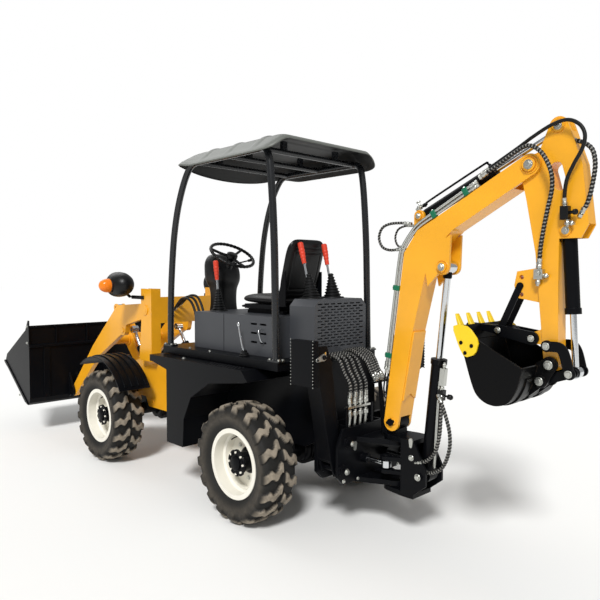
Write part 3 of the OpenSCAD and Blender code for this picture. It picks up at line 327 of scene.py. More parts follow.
# The slot of each material, by the material's name
SLOT_OF = {material.name: slot for slot, material in SLOT_MATERIALS.items()}
SLOT_OF.update({BUCKET_BLACK.name: "black_paint", GRAPHITE.name: "charcoal_paint"})

# Shapes

AHEAD, LEFT, UP = (1, 0, 0), (0, 1, 0), (0, 0, 1)
BACK, DOWN = (-1, 0, 0), (0, 0, -1)
TINY = 1e-9


def smooth(x, low, high):
    """Rises from 0 at low to 1 at high as 3t^2 - 2t^3."""
    t = np.clip((np.asarray(x, float) - low) / (high - low), 0, 1)
    return t * t * (3 - 2 * t)


def unit(vector):
    """A vector brought to length 1."""
    return np.asarray(vector, float) / np.linalg.norm(vector)


def through(points, per=8):
    """A curve through points: each span is a Catmull-Rom cubic in its four nearest points."""
    p = np.asarray(points, float)
    p = np.vstack([2 * p[0] - p[1], p, 2 * p[-1] - p[-2]])
    t = np.linspace(0, 1, per, endpoint=False)[None, :, None]
    a, b, c, d = (p[i:len(p) - 3 + i, None, :] for i in range(4))
    square, cube = 2 * a - 5 * b + 4 * c - d, 3 * b - a - 3 * c + d
    span = 0.5 * (2 * b + (c - a) * t + square * t ** 2 + cube * t ** 3)
    return np.vstack([span.reshape(-1, p.shape[1]), p[-2][None]])


def distances(path):
    """How far along a path each of its points lies."""
    return np.concatenate([[0], np.cumsum(np.linalg.norm(np.diff(path, axis=0), axis=1))])


def even(path, step):
    """The same line with points a step apart, by linear interpolation along its length."""
    path = np.asarray(path, float)
    along = distances(path)
    s = np.linspace(0, along[-1], max(int(round(along[-1] / step)), 2) + 1)
    return np.stack([np.interp(s, along, path[:, k]) for k in range(path.shape[1])], axis=1)


def surface(points, wrap_rows=False, wrap_columns=False):
    """A grid of points as (points, faces), closed round its rows or columns where asked."""
    rows, columns = points.shape[:2]
    i = np.arange(rows if wrap_rows else rows - 1)[:, None]
    j = np.arange(columns if wrap_columns else columns - 1)[None, :]
    i2, j2 = (i + 1) % rows, (j + 1) % columns
    corners = np.broadcast_arrays(i * columns + j, i2 * columns + j, i2 * columns + j2, i * columns + j2)
    return points.reshape(-1, 3), np.stack(corners, -1).reshape(-1, 4).tolist()


def end_faces(count, sides):
    """Faces over the first and the last ring of a closed grid."""
    return [list(range(sides))[::-1], list(range(count - sides, count))]


def capped(points):
    """A grid of points closed round its columns and at both ends."""
    p, f = surface(points, wrap_columns=True)
    return p, f + end_faces(len(p), points.shape[1])


def joined(shapes):
    """Several (points, faces) as one."""
    points, faces, base = [], [], 0
    for p, f in shapes:
        points.append(np.asarray(p, float))
        faces += [[k + base for k in face] for face in f]
        base += len(p)
    return np.vstack(points), faces


def frames(path):
    """Two unit normals at each point of a path: the first lies square to the line's flattest direction."""
    ahead = np.gradient(np.asarray(path, float), axis=0)
    ahead /= np.linalg.norm(ahead, axis=1, keepdims=True) + 1e-12
    flattest = np.linalg.eigh(ahead.T @ ahead)[1][:, 0]
    side = np.cross(ahead, flattest)
    side /= np.linalg.norm(side, axis=1, keepdims=True) + 1e-12
    return side, np.cross(ahead, side)


def circle(sides):
    """Angles of a full turn in equal steps."""
    return np.linspace(0, 2 * np.pi, sides, endpoint=False)


def tube(path, radius, sides, caps=True):
    """A circle of the given radius carried along a path; radius may change along it and round it."""
    path = np.asarray(path, float)
    side, up = frames(path)
    turn = circle(sides)[None, :, None]
    r = radius if np.ndim(radius) == 2 else np.asarray(radius, float).reshape(-1, 1)
    r = np.broadcast_to(r, (len(path), sides))[..., None]
    points = path[:, None] + r * (np.cos(turn) * side[:, None] + np.sin(turn) * up[:, None])
    return capped(points) if caps else surface(points, wrap_columns=True)


def turned(profile, centre, axis, sides):
    """A profile of (distance along the axis, radius) turned about an axis through centre."""
    profile = np.asarray(profile, float)
    axis = unit(axis)
    u = unit(np.cross(axis, UP if abs(axis[2]) < 0.9 else AHEAD))
    v = np.cross(axis, u)
    turn = circle(sides)[:, None]
    ring = np.cos(turn) * u + np.sin(turn) * v
    points = np.asarray(centre, float) + profile[:, 0, None, None] * axis + profile[:, 1, None, None] * ring
    p, f = surface(points, wrap_columns=True)
    return p, f + [end for end, r in zip(end_faces(len(p), sides), profile[[0, -1], 1]) if r > TINY]


def slab(outline, low, high, plane="xz"):
    """A flat outline given thickness: two copies of the outline and the band between them."""
    o = np.asarray(outline, float)
    n = len(o)
    order = {"xz": [0, 2, 1], "xy": [0, 1, 2], "yz": [2, 0, 1]}[plane]
    layers = [np.column_stack([o, np.full(n, level)]) for level in (low, high)]
    k = np.arange(n)
    band = np.stack([k, (k + 1) % n, n + (k + 1) % n, n + k], 1).tolist()
    return np.vstack(layers)[:, order], band + [k[::-1].tolist(), (n + k).tolist()]


def brick(low, high):
    """A box between two corners."""
    (a, b, c), (d, e, f) = low, high
    return slab([(a, b), (d, b), (d, e), (a, e)], c, f, "xy")


def bars(xs, ys, zs, half):
    """Boxes of one section in x and z, each with the given half width about its y."""
    return [brick((xs[0], y - half, zs[0]), (xs[1], y + half, zs[1])) for y in ys]


def both(shape):
    """A shape and its mirror image in the middle plane."""
    points, faces = shape
    return joined([shape, (points * (1, -1, 1), [face[::-1] for face in faces])])


def hex_bolt(at, axis, radius):
    """A hexagon head on a round washer: a six-sided turned profile with a chamfered top."""
    low, rim = 0.25 * radius, 1.36 * radius
    edge, top = low + 0.62 * radius, low + 0.76 * radius
    head = turned([(low, radius), (edge, radius), (top, 0.84 * radius), (top, 0)], at, axis, 6)
    washer = turned([(0, rim), (0.7 * low, rim), (low, 1.28 * radius), (low, radius * 0.9)], at, axis, 24)
    return joined([washer, head])


def side_bolts(spots, y, radius):
    """Bolts on both sides of the machine, at spots (x, z) of the side view and that far out."""
    return [both(hex_bolt((x, y, z), LEFT, radius)) for x, z in spots]


def put(name, shape, material, body, sharp=40, bevel=0.0, slot=None):
    """Makes the piece from a shape or a list of them: smooth shading broken at edges sharper than the given
    angle, normals outwards."""
    points, faces = joined(shape) if isinstance(shape, list) else shape
    mesh = bpy.data.meshes.new(name)
    mesh.from_pydata(np.asarray(points, float).tolist(), [], [list(f) for f in faces])
    mesh.materials.append(material)
    work = bmesh.new()
    work.from_mesh(mesh)
    bmesh.ops.remove_doubles(work, verts=work.verts, dist=1e-6)
    bmesh.ops.recalc_face_normals(work, faces=work.faces)
    work.to_mesh(mesh)
    work.free()
    mesh.polygons.foreach_set("use_smooth", np.ones(len(mesh.polygons), bool))
    mesh.set_sharp_from_angle(angle=math.radians(sharp))
    piece = bpy.data.objects.new(name, mesh)
    bpy.context.collection.objects.link(piece)
    if bevel:
        rounding = piece.modifiers.new("bevel", "BEVEL")
        rounding.width = bevel
        rounding.segments = 2
        rounding.limit_method = "ANGLE"
        rounding.angle_limit = math.radians(35)
    if body:
        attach(piece, body)
    slot = slot or SLOT_OF.get(material.name)
    return piece


def mark(piece, name, values):
    """Keeps a number for each point of a piece, for its material to read."""
    attribute = piece.data.attributes.new(name, "FLOAT", "POINT")
    attribute.data.foreach_set("value", np.ascontiguousarray(values, np.float32).ravel())


# Places taken from the joints and the boxes of the frame

REAR = at_joint("wheel_rear_left")
BOOM_FOOT = at_joint("boom_lift")
BUCKET = at_joint("bucket_tilt")
DECK_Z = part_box("hood")[0][2]
SEAT_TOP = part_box("hood")[1][2]
GRILLE_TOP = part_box("radiator_hood")[1][2]
SIDES = (("left", 1), ("right", -1))
WHEELS = [(f"{end}_{name}", side) for end in ("front", "rear") for name, side in SIDES]

# Tyres

LUGS = 17
LUG_H = 0.022
TYRE_R = 0.3849
# Half of the tyre's section: (distance from the middle, radius)
TYRE_PROFILE = (
    (0.094, 0.207), (0.098, 0.222), (0.108, 0.240), (0.124, 0.262), (0.1305, 0.292), (0.1290, 0.318),
    (0.121, 0.338), (0.104, 0.352), (0.070, 0.359), (0.035, 0.362), (0.0, 0.363))


def tyre_shape(centre, side):
    """Tyre skin over (turn, v): a spline profile turned about the axle and pushed out along its normal by
    lug height times a mask, which is 1 inside S-shaped bands that step between two staggered rows."""
    half = np.array(TYRE_PROFILE)
    profile = through(np.vstack([half, half[-2::-1] * (-1, 1)]), 6)
    w, r = profile[:, 0], profile[:, 1]
    slope = np.gradient(profile, axis=0)
    normal = np.stack([slope[:, 1], -slope[:, 0]], 1)
    normal *= np.sign((normal * (profile - (0, 0.28))).sum(1, keepdims=True))
    normal /= np.linalg.norm(normal, axis=1, keepdims=True)
    turn = circle(LUGS * 26)[:, None]
    away = np.abs(w)[None]
    pitch = 2 * np.pi / LUGS
    shift = -0.16 * smooth(away, 0.022, 0.075) - 0.03 * smooth(away, 0.09, 0.13)
    row = np.where(w > 0, 0.0, 0.5)[None]
    wave = 0.085 * np.sin(2 * np.pi * away / 0.072)
    place = (turn / pitch - row - shift * 1.6 - wave + 0.5) % 1 - 0.5
    shoulder = smooth(away, 0.095, 0.13)
    width = 0.190 + 0.045 * shoulder + 0.05 * (1 - smooth(away, 0.015, 0.045))
    lug = smooth(width - np.abs(place), -0.03, 0.03) * smooth(away, 0.001, 0.010)
    lug = lug * smooth(r, 0.298, 0.322)[None]
    rings = sum(0.0016 * np.exp(-((r - ring) / 0.003) ** 2) for ring in (0.236, 0.244, 0.285))
    out = LUG_H * lug * (1 - 0.30 * smooth(away, 0.09, 0.13)) + rings[None]
    ww = w[None] + out * normal[None, :, 0]
    rr = np.minimum(r[None] + out * normal[None, :, 1], TYRE_R)
    x = centre[0] + rr * np.sin(turn)
    z = centre[2] + rr * np.cos(turn)
    y = centre[1] + side * np.broadcast_to(ww, rr.shape)
    wall = smooth(r, 0.24, 0.30)[None] * (1 - smooth(r, 0.30, 0.345)[None])
    dust = smooth(lug, 0.55, 0.95) * smooth(rr, 0.335, 0.372) + 0.16 * wall
    return surface(np.stack([x, y, z], -1), wrap_rows=True, wrap_columns=True), dust


def make_tyres():
    """A lugged skin on each wheel, with dust on its lugs and wall."""
    for name, side in WHEELS:
        shape, dust = tyre_shape(at_joint(f"wheel_{name}"), side)
        piece = put(f"tyre_skin_{name}", shape, TYRE, f"wheel_{name}", 50)
        mark(piece, "dust", dust)
        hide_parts(f"tyre_{name}")


make_tyres()

# Canopy, seat, console and levers

POST_Y = 0.450
POST_R = 0.024
CROSS_Z = 2.400
FOOT_T = 0.011
# Side tube of the canopy: (distance ahead of the rear axle, height)
POST_LINE = (
    (-0.196, DECK_Z + 0.003), (-0.190, 1.300), (-0.186, 1.500), (-0.178, 1.800), (-0.160, 2.100),
    (-0.138, 2.300), (-0.112, 2.375), (-0.070, 2.398), (0.010, CROSS_Z), (0.350, CROSS_Z), (0.620, CROSS_Z),
    (0.700, 2.394), (0.762, 2.360), (0.840, 2.250), (0.915, 2.080), (0.968, 1.880), (1.000, 1.650),
    (1.020, 1.400), (1.030, DECK_Z + 0.003))


def make_canopy_posts():
    """Two bowed side tubes with bolted feet, joined by cross tubes under the roof."""
    line = even(through(np.array(POST_LINE) + (REAR[0], 0), 10), 0.02)
    shapes, bolts = [], []
    for y in (-POST_Y, POST_Y):
        shapes.append(tube(np.stack([line[:, 0], np.full(len(line), y), line[:, 1]], 1), POST_R, 24))
        for foot in (line[0, 0], line[-1, 0]):
            shapes += bars((foot - 0.055, foot + 0.055), (y,), (DECK_Z, DECK_Z + FOOT_T), 0.030)
            collar = [(0, 0.033), (0.006, 0.028), (0.010, 0.0245)]
            shapes.append(turned(collar, (foot, y, DECK_Z + 0.010), UP, 24))
            bolts += [hex_bolt((foot + dx, y + dy, DECK_Z + FOOT_T), UP, 0.0095)
                      for dx in (-0.042, 0.042) for dy in (-0.017, 0.017)]
    for ahead in (-0.05, 0.31, 0.66):
        cross = REAR[0] + ahead
        shapes.append(tube([(cross, y, CROSS_Z) for y in (-POST_Y, 0, POST_Y)], 0.018, 14))
        shapes += bars((cross - 0.014, cross + 0.014), (-0.25, 0.25), (CROSS_Z, 2.470), 0.020)
    piece = put("canopy_tubes", shapes, GRAPHITE, "chassis")
    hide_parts("canopy_posts")
    put("canopy_bolts", bolts, ZINC, "chassis")


make_canopy_posts()


def sheet_grid(count, power):
    """A square grid pressed into a superellipse: rings of the square become rings of |a|^n + |b|^n = 1;
    ring is 0 in the middle and 1 at the rim."""
    line = np.linspace(-1, 1, count)
    a, b = np.meshgrid(line, line, indexing="ij")
    ring = np.maximum(np.abs(a), np.abs(b))
    size = (np.abs(a) ** power + np.abs(b) ** power) ** (1 / power)
    k = np.where(size > TINY, ring / np.maximum(size, TINY), 1)
    return a * k, b * k, ring


VISOR = 0.27


def make_roof():
    """Moulded roof z(x, y): flat crown, sides that droop, a front visor that drops with the power 4.5 and
    most in the middle, and three cross ribs."""
    (x0, _, _), (x1, y1, top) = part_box("canopy_roof")
    a, b, ring = sheet_grid(121, 9)
    x = (x0 + x1) / 2 + (x1 - x0) / 2 * a
    y = y1 * b
    front = np.clip((x - (x1 - VISOR)) / VISOR, 0, 1)
    side = smooth(np.abs(y), 0.66 * y1, y1 * 1.04) ** 1.3 * 0.112 * (1 - 0.7 * front ** 2)
    visor = front ** 4.5 * (0.145 - 0.075 * (y / y1) ** 2)
    back = np.clip((x0 + 0.10 - x) / 0.10, 0, 1) ** 2 * 0.020
    ribs = sum(np.exp(-((x - at) / 0.028) ** 4) for at in np.linspace(x0 + 0.20, x1 - 0.34, 3))
    fade = 1 - smooth(ring, 0.90, 0.97)
    rim = smooth(ring, 0.965, 1.0) * 0.012
    z = top - 0.009 - side - visor - back + 0.008 * ribs * fade - rim
    piece = put("roof_moulding", surface(np.stack([x, y, z], -1)), ROOF, "chassis", 60)
    # The underside takes the near-black material: painted shade under the roof
    piece.data.materials.append(ROOF_UNDERSIDE_SHADE)
    skin = piece.modifiers.new("skin", "SOLIDIFY")
    skin.thickness = 0.007
    skin.offset = -1
    skin.material_offset = 1
    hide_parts("canopy_roof")


make_roof()


def pad(centre, across, along, out, front, rear):
    """A stuffed pad on a superellipse of power 5: the front bulges by (1 - ring^4)^0.5 and the rear
    likewise, meeting at the rim."""
    a, b, ring = sheet_grid(61, 5)
    swell = np.sqrt(np.clip(1 - ring ** 4, 0, 1))
    out = unit(out)
    base = np.asarray(centre, float) + a[..., None] * np.asarray(across) + b[..., None] * np.asarray(along)
    return joined([surface(base + (push * swell)[..., None] * out) for push in (front, -rear)])


VOXEL = 0.006
PRESSURE = 4.0
CLOTH_FRAMES = 20
PUFF = 0.010
SEAM = 0.004


def points_of(mesh):
    """A mesh's points as an array."""
    flat = np.empty(len(mesh.vertices) * 3)
    mesh.vertices.foreach_get("co", flat)
    return flat.reshape(-1, 3)


def plump(piece, held):
    """Pads a cover: the mesh is remeshed evenly and blown up by cloth pressure while its seams are held;
    no point moves further than PUFF."""
    even_mesh = piece.modifiers.new("even", "REMESH")
    even_mesh.mode = "VOXEL"
    even_mesh.voxel_size = VOXEL
    graph = bpy.context.evaluated_depsgraph_get()
    fine = bpy.data.meshes.new_from_object(piece.evaluated_get(graph))
    piece.modifiers.remove(even_mesh)
    piece.data = fine
    rest = points_of(fine)
    seams = piece.vertex_groups.new(name="seams")
    seams.add(np.flatnonzero(held(rest)).tolist(), 1.0, "REPLACE")
    cloth = piece.modifiers.new("cover", "CLOTH")
    cloth.settings.use_pressure = True
    cloth.settings.uniform_pressure_force = PRESSURE
    cloth.settings.vertex_group_mass = "seams"
    cloth.settings.effector_weights.gravity = 0.0
    for frame_number in range(1, CLOTH_FRAMES + 1):
        bpy.context.scene.frame_set(frame_number)
    blown = piece.evaluated_get(bpy.context.evaluated_depsgraph_get()).to_mesh()
    move = points_of(blown) - rest
    far = np.linalg.norm(move, axis=1, keepdims=True)
    piece.modifiers.remove(cloth)
    bpy.context.scene.frame_set(1)
    fine.vertices.foreach_set("co", (rest + move * np.minimum(1, PUFF / np.maximum(far, TINY))).ravel())
    fine.update()
    fine.polygons.foreach_set("use_smooth", np.ones(len(fine.polygons), bool))
    finer = piece.modifiers.new("finer", "SUBSURF")
    finer.levels = finer.render_levels = 1


def near_lines(along, pitch):
    """True where a measure lies on one of the evenly spaced seams."""
    return np.abs(along % pitch - pitch / 2) < SEAM


def near_edge(y, edge):
    """True where a point lies on the seam at either side."""
    return np.abs(np.abs(y) - edge) < SEAM


def make_seat():
    """Cushion and backrest with stitched channels, a steel base with slides, and a moulded shell behind."""
    x, z = REAR[0] + 0.270, SEAT_TOP
    rim = z + 0.098
    shape = pad((x + 0.005, 0, rim), (0.228, 0, 0.006), (0, 0.198, 0), (-0.03, 0, 1), 0.042, 0.030)
    cushion = put("seat_cushion", shape, VINYL, "chassis", 80)
    plump(cushion, lambda p: (p[:, 2] < rim) | near_lines(p[:, 0] - x, 0.10) | near_edge(p[:, 1], 0.135))
    tilt = np.array((-0.055, 0, 0.200))
    middle = np.array((x - 0.232, 0, z + 0.322))
    face = np.array((0.96, 0, 0.26))
    back = put("seat_back", pad(middle, tilt, (0, 0.168, 0), face, 0.045, 0.012), VINYL, "chassis", 80)
    plump(back, lambda p: ((p - middle) @ face < 0.0) | near_lines(p[:, 2] - middle[2], 0.11)
          | near_edge(p[:, 1], 0.115))
    a, b, ring = sheet_grid(91, 6)
    panel = np.maximum(np.abs(a + 0.05) / 0.62, np.abs(b) / 0.70)
    lines = np.exp(-((panel - 1) / 0.035) ** 2)
    lines += 0.8 * np.exp(-((np.abs(a + 0.05) - 0.78) / 0.02) ** 2) * (np.abs(b) < 0.72)
    deep = 0.030 * np.sqrt(np.clip(1 - ring ** 6, 0, 1)) - 0.006 * lines
    base = middle - 0.010 * face + a[..., None] * tilt * 1.02 + b[..., None] * np.array((0, 0.173, 0))
    shell = [surface(base - deep[..., None] * face), surface(base)]
    put("seat_shell", shell, PLASTIC, "chassis", 60)
    steel = bars((x - 0.20, x + 0.19), (-0.130, 0.130), (z, z + 0.024), 0.018)
    steel += bars((x - 0.17, x + 0.17), (-0.130, 0.130), (z + 0.024, z + 0.034), 0.024)
    steel += bars((x - 0.185, x + 0.19), (0,), (z + 0.034, z + 0.068), 0.175)
    for s in (-1, 1):
        handle = [(x + 0.17, s * 0.15, z + 0.045), (x + 0.24, s * 0.15, z + 0.045),
                  (x + 0.26, s * 0.12, z + 0.05), (x + 0.26, 0, z + 0.05)]
        steel.append(tube(through(handle), 0.006, 8))
    cheek = [(x - 0.26, z + 0.06), (x - 0.14, z + 0.05), (x - 0.17, z + 0.10), (x - 0.24, z + 0.30),
             (x - 0.26, z + 0.30)]
    steel += [slab(cheek, y - 0.004, y + 0.004) for y in (-0.176, 0.176)]
    base_piece = put("seat_base", steel, BLACK, "chassis", 40, 0.002, slot="seat_vinyl")
    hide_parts("seat")


make_seat()


def loft(rows, sides, per):
    """Superellipse rings stacked in z: each row is (z, middle x, half length, half width, power), joined by
    smooth curves."""
    fine = through(rows, per)
    z, middle, length, width, power = (fine[:, k][:, None] for k in range(5))
    c, s = np.cos(circle(sides))[None], np.sin(circle(sides))[None]
    x = middle + length * np.sign(c) * np.abs(c) ** (2 / power)
    y = width * np.sign(s) * np.abs(s) ** (2 / power)
    return capped(np.stack([x, y, np.broadcast_to(z, x.shape)], -1))


def make_console():
    """A cowl that swells under the wheel, a column, a wheel with a grip rim, a stalk and two dials."""
    x = REAR[0] + 0.955
    cowl = loft([(DECK_Z, x, 0.096, 0.112, 7), (DECK_Z + 0.20, x - 0.004, 0.088, 0.102, 6),
                 (1.36, x - 0.006, 0.080, 0.090, 5), (1.47, x - 0.004, 0.086, 0.098, 4),
                 (1.55, x + 0.004, 0.112, 0.128, 3.4), (1.630, x + 0.014, 0.112, 0.134, 3),
                 (1.690, x + 0.034, 0.092, 0.126, 2.8), (1.738, x + 0.054, 0.058, 0.094, 2.6),
                 (1.756, x + 0.064, 0.024, 0.048, 2.4)], 64, 7)
    piece = put("console_cowl", cowl, PLASTIC, "chassis", 50)
    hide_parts("steering_console")
    hub = np.array((REAR[0] + 0.830, 0, 1.745))
    lean = math.radians(-32)
    axis = np.array((math.sin(lean), 0, math.cos(lean)))
    u = np.array((math.cos(lean), 0, -math.sin(lean)))
    v = np.array(LEFT)
    turn = np.linspace(0, 2 * np.pi, 145)
    rim = hub + 0.178 * (np.cos(turn)[:, None] * u + np.sin(turn)[:, None] * v)
    parts = [tube(rim, 0.0125 + 0.0012 * np.cos(turn * 36), 14, False)]
    for spoke in np.radians((60, 180, 300)):
        d = math.cos(spoke) * u + math.sin(spoke) * v
        line = [hub - 0.014 * axis + 0.02 * d, hub - 0.012 * axis + 0.09 * d, hub + 0.172 * d]
        parts.append(tube(through(line, 6), 0.011, 10))
    parts.append(turned([(-0.045, 0.024), (-0.035, 0.034), (-0.012, 0.046), (0.006, 0.044), (0.012, 0.034),
                         (0.015, 0.012), (0.0152, 0)], hub, axis, 32))
    parts.append(tube([hub - 0.20 * axis, hub - 0.04 * axis], 0.026, 20))
    parts.append(turned([(0, 0.044), (0.05, 0.040), (0.09, 0.030)], hub - 0.165 * axis, axis, 24))
    stalk = hub - 0.075 * axis
    knob = stalk + np.array((-0.05, -0.15, 0.02))
    parts.append(tube(through([stalk, stalk + np.array((-0.02, -0.06, 0.0)), knob], 6), 0.006, 8))
    parts.append(turned([(0, 0.004), (0.004, 0.011), (0.03, 0.012), (0.042, 0.008), (0.044, 0)], knob,
                        (-0.2, -0.95, 0.2), 14))
    put("steering_wheel", parts, PLASTIC, "chassis", 45)
    dial = [(-0.02, 0.040), (0.004, 0.040), (0.006, 0.036), (0.002, 0.034), (0.002, 0)]
    dials = [turned(dial, (x - 0.045, y, 1.640), (-0.72, 0, 0.69), 28) for y in (-0.05, 0.05)]
    put("console_dial", dials, ZINC, "chassis", slot="rod_chrome")


make_console()

# Levers: (x from the rear axle, y, foot height, lean, length, boot radius)
LEVERS = ((0.740, 0.200, SEAT_TOP, 0.040, 0.380, 0.058), (-0.165, 0.105, GRILLE_TOP, 0.110, 0.385, 0.070),
          (-0.165, -0.105, GRILLE_TOP, 0.085, 0.375, 0.070))
BOOT_H = 0.160
PLEATS = 8
GRIP_L = 0.140


def make_levers():
    """Pleated rubber boots, ground shafts and red grips with finger rings."""
    boots, shafts, grips = [], [], []
    for dx, y, z, lean, length, radius in LEVERS:
        foot = np.array((REAR[0] + dx, y, z))
        axis = np.array((lean, 0, length)) / math.hypot(lean, length)
        t = np.linspace(0, 1, 97)
        wave = 0.5 - 0.5 * np.cos(2 * np.pi * PLEATS * t)
        pleats = radius + (0.020 - radius) * t ** 0.8 - (0.007 + 0.004 * (1 - t)) * wave * (t > 0.02)
        profile = np.stack([BOOT_H * t, pleats], 1)
        lower = np.vstack([[(0, radius)], profile[1:], [(0.166, 0.016), (0.170, 0.010)]])
        boots.append(turned(lower, foot, (lean * 0.5, 0, length), 40))
        flange = radius + 0.010
        boots.append(turned([(0, flange), (0.006, flange), (0.009, radius + 0.004)], foot, UP, 40))
        shafts.append(tube([foot + axis * 0.10, foot + axis * length * 0.7], 0.008, 14))
        nut = [(0, 0.012), (0.016, 0.012), (0.018, 0.009)]
        shafts.append(turned(nut, foot + axis * (length * 0.62), axis, 6))
        g = np.linspace(0, 1, 49)
        rings = 0.0012 * np.cos(2 * np.pi * 6 * g) * (g > 0.15) * (g < 0.8)
        grip = np.stack([g * GRIP_L, 0.0145 + 0.0055 * smooth(g, 0, 0.7) + rings], 1)
        top = [(0.146, 0.018), (0.150, 0.013), (0.152, 0)]
        grips.append(turned(np.vstack([grip, top]), foot + axis * (length - GRIP_L), axis, 28))
    piece = put("lever_boots", boots, RUBBER, "chassis", 70, slot="black_plastic")
    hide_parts("control_levers")
    put("lever_shafts", shafts, CHROME, "chassis")
    put("lever_grips", grips, RED, "chassis", 50)


make_levers()

# Hoses, pipes and fittings

HOSE_SIDES = 14
WIND = 0.018
FERRULES = {}


def ferrule(at, axis, radius):
    """A crimped ferrule and a hexagon nut at a hose's end: a turned profile with two crimp rings."""
    thick, thin, flat = radius * 1.28, radius * 1.16, radius * 1.4
    crimp = turned([(-0.034, radius * 1.02), (-0.032, thick), (-0.024, thick), (-0.022, thin),
                    (-0.016, thin), (-0.014, thick), (-0.004, thick), (0, radius * 0.9)], at, axis, 18)
    nut = turned([(0, radius * 1.05), (0.002, flat), (0.016, flat), (0.018, radius * 1.1)], at, axis, 6)
    return joined([crimp, nut])


def hose(name, points, diameter, pair, guard):
    """A hydraulic hose along a curve through points. A spiral guard makes its radius r(0.96 + 0.075 s),
    where s follows the turn less the distance wound round it. Pair is the body that carries it, or the two
    that it joins."""
    path = even(through(points, 12), 0.0045 if guard else 0.010)
    wound = np.cos(2 * np.pi * distances(path)[:, None] / WIND - circle(HOSE_SIDES)[None])
    radius = diameter / 2
    ring = radius * (0.96 + 0.075 * np.tanh(2.5 * wound)) if guard else np.full(wound.shape, radius)
    shape = tube(path, ring, HOSE_SIDES)
    piece = put(name, shape, BRAID if guard else RUBBER, pair[0] if len(pair) == 1 else None, 80)
    if guard:
        mark(piece, "fleck", smooth(-wound, 0.70, 0.93))
    if len(pair) > 1:
        first, last = pair
        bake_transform(piece)
    for body, end, inner in ((pair[0], path[0], path[3]), (pair[-1], path[-1], path[-4])):
        FERRULES.setdefault(body, []).append(ferrule(end, end - inner, radius))


# Boom pipes and their clamps, on the boom's edge: (x, z from the foot pin, outward x, outward z)
PIPE_RUN = np.array((
    (0.008, 0.330, 0.991, 0.136), (-0.040, 0.676, 0.991, 0.136), (-0.080, 0.968, 0.985, 0.17),
    (-0.100, 1.040, 0.90, 0.43), (-0.160, 1.120, 0.78, 0.62), (-0.205, 1.162, 0.58, 0.81),
    (-0.300, 1.213, 0.471, 0.882), (-0.440, 1.288, 0.471, 0.882), (-0.560, 1.352, 0.471, 0.882)))
PIPE_CLAMPS = ((-0.002, 0.402, 0.991, 0.136), (-0.058, 0.811, 0.991, 0.136), (-0.300, 1.213, 0.471, 0.882),
               (-0.500, 1.320, 0.471, 0.882))
# How far out from that edge each pipe lies
PIPE_OUT = (0.014, 0.034)
PIPE_Y = 0.0615
CLAMP_HALF = 0.012


def pipe_point(i, out):
    """A point of a pipe's line, that far out from the boom's edge."""
    x, z, a, b = PIPE_RUN[i]
    return np.array((BOOM_FOOT[0] + x + out * a, PIPE_Y, BOOM_FOOT[2] + z + out * b))


def make_pipes():
    """Two plated steel pipes that follow the boom's front edge, with clamps and end nuts."""
    pipes, clamps, nuts = [], [], []
    for out in PIPE_OUT:
        line = even(through([pipe_point(i, out) for i in range(len(PIPE_RUN))], 10), 0.01)
        pipes.append(tube(line, 0.0078, 16))
        nuts += [ferrule(line[0], line[0] - line[2], 0.009), ferrule(line[-1], line[-1] - line[-3], 0.009)]
    for x, z, a, b in PIPE_CLAMPS:
        at = np.array((BOOM_FOOT[0] + x, BOOM_FOOT[2] + z))
        out, along = np.array((a, b)), np.array((-b, a)) * 0.015
        low, high = at + out * 0.002, at + out * 0.046
        outline = [low + along, low - along, high - along, high + along]
        clamps.append(slab(outline, PIPE_Y - CLAMP_HALF, PIPE_Y + CLAMP_HALF))
        nuts.append(hex_bolt((high[0], PIPE_Y, high[1]), (a, 0, b), 0.007))
    piece = put("boom_pipe_runs", pipes, ZINC, "boom", 60)
    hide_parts("boom_pipes")
    put("boom_pipe_clamps", clamps, GREEN, "boom", 40, 0.002)
    put("boom_pipe_nuts", nuts, ZINC, "boom")


make_pipes()
THICK, SLIM = 0.022, 0.010
GUIDE = np.array((-1.640, 0.060, 0.952))
MANIFOLD = np.array((-1.528, 0.205, 0.835))
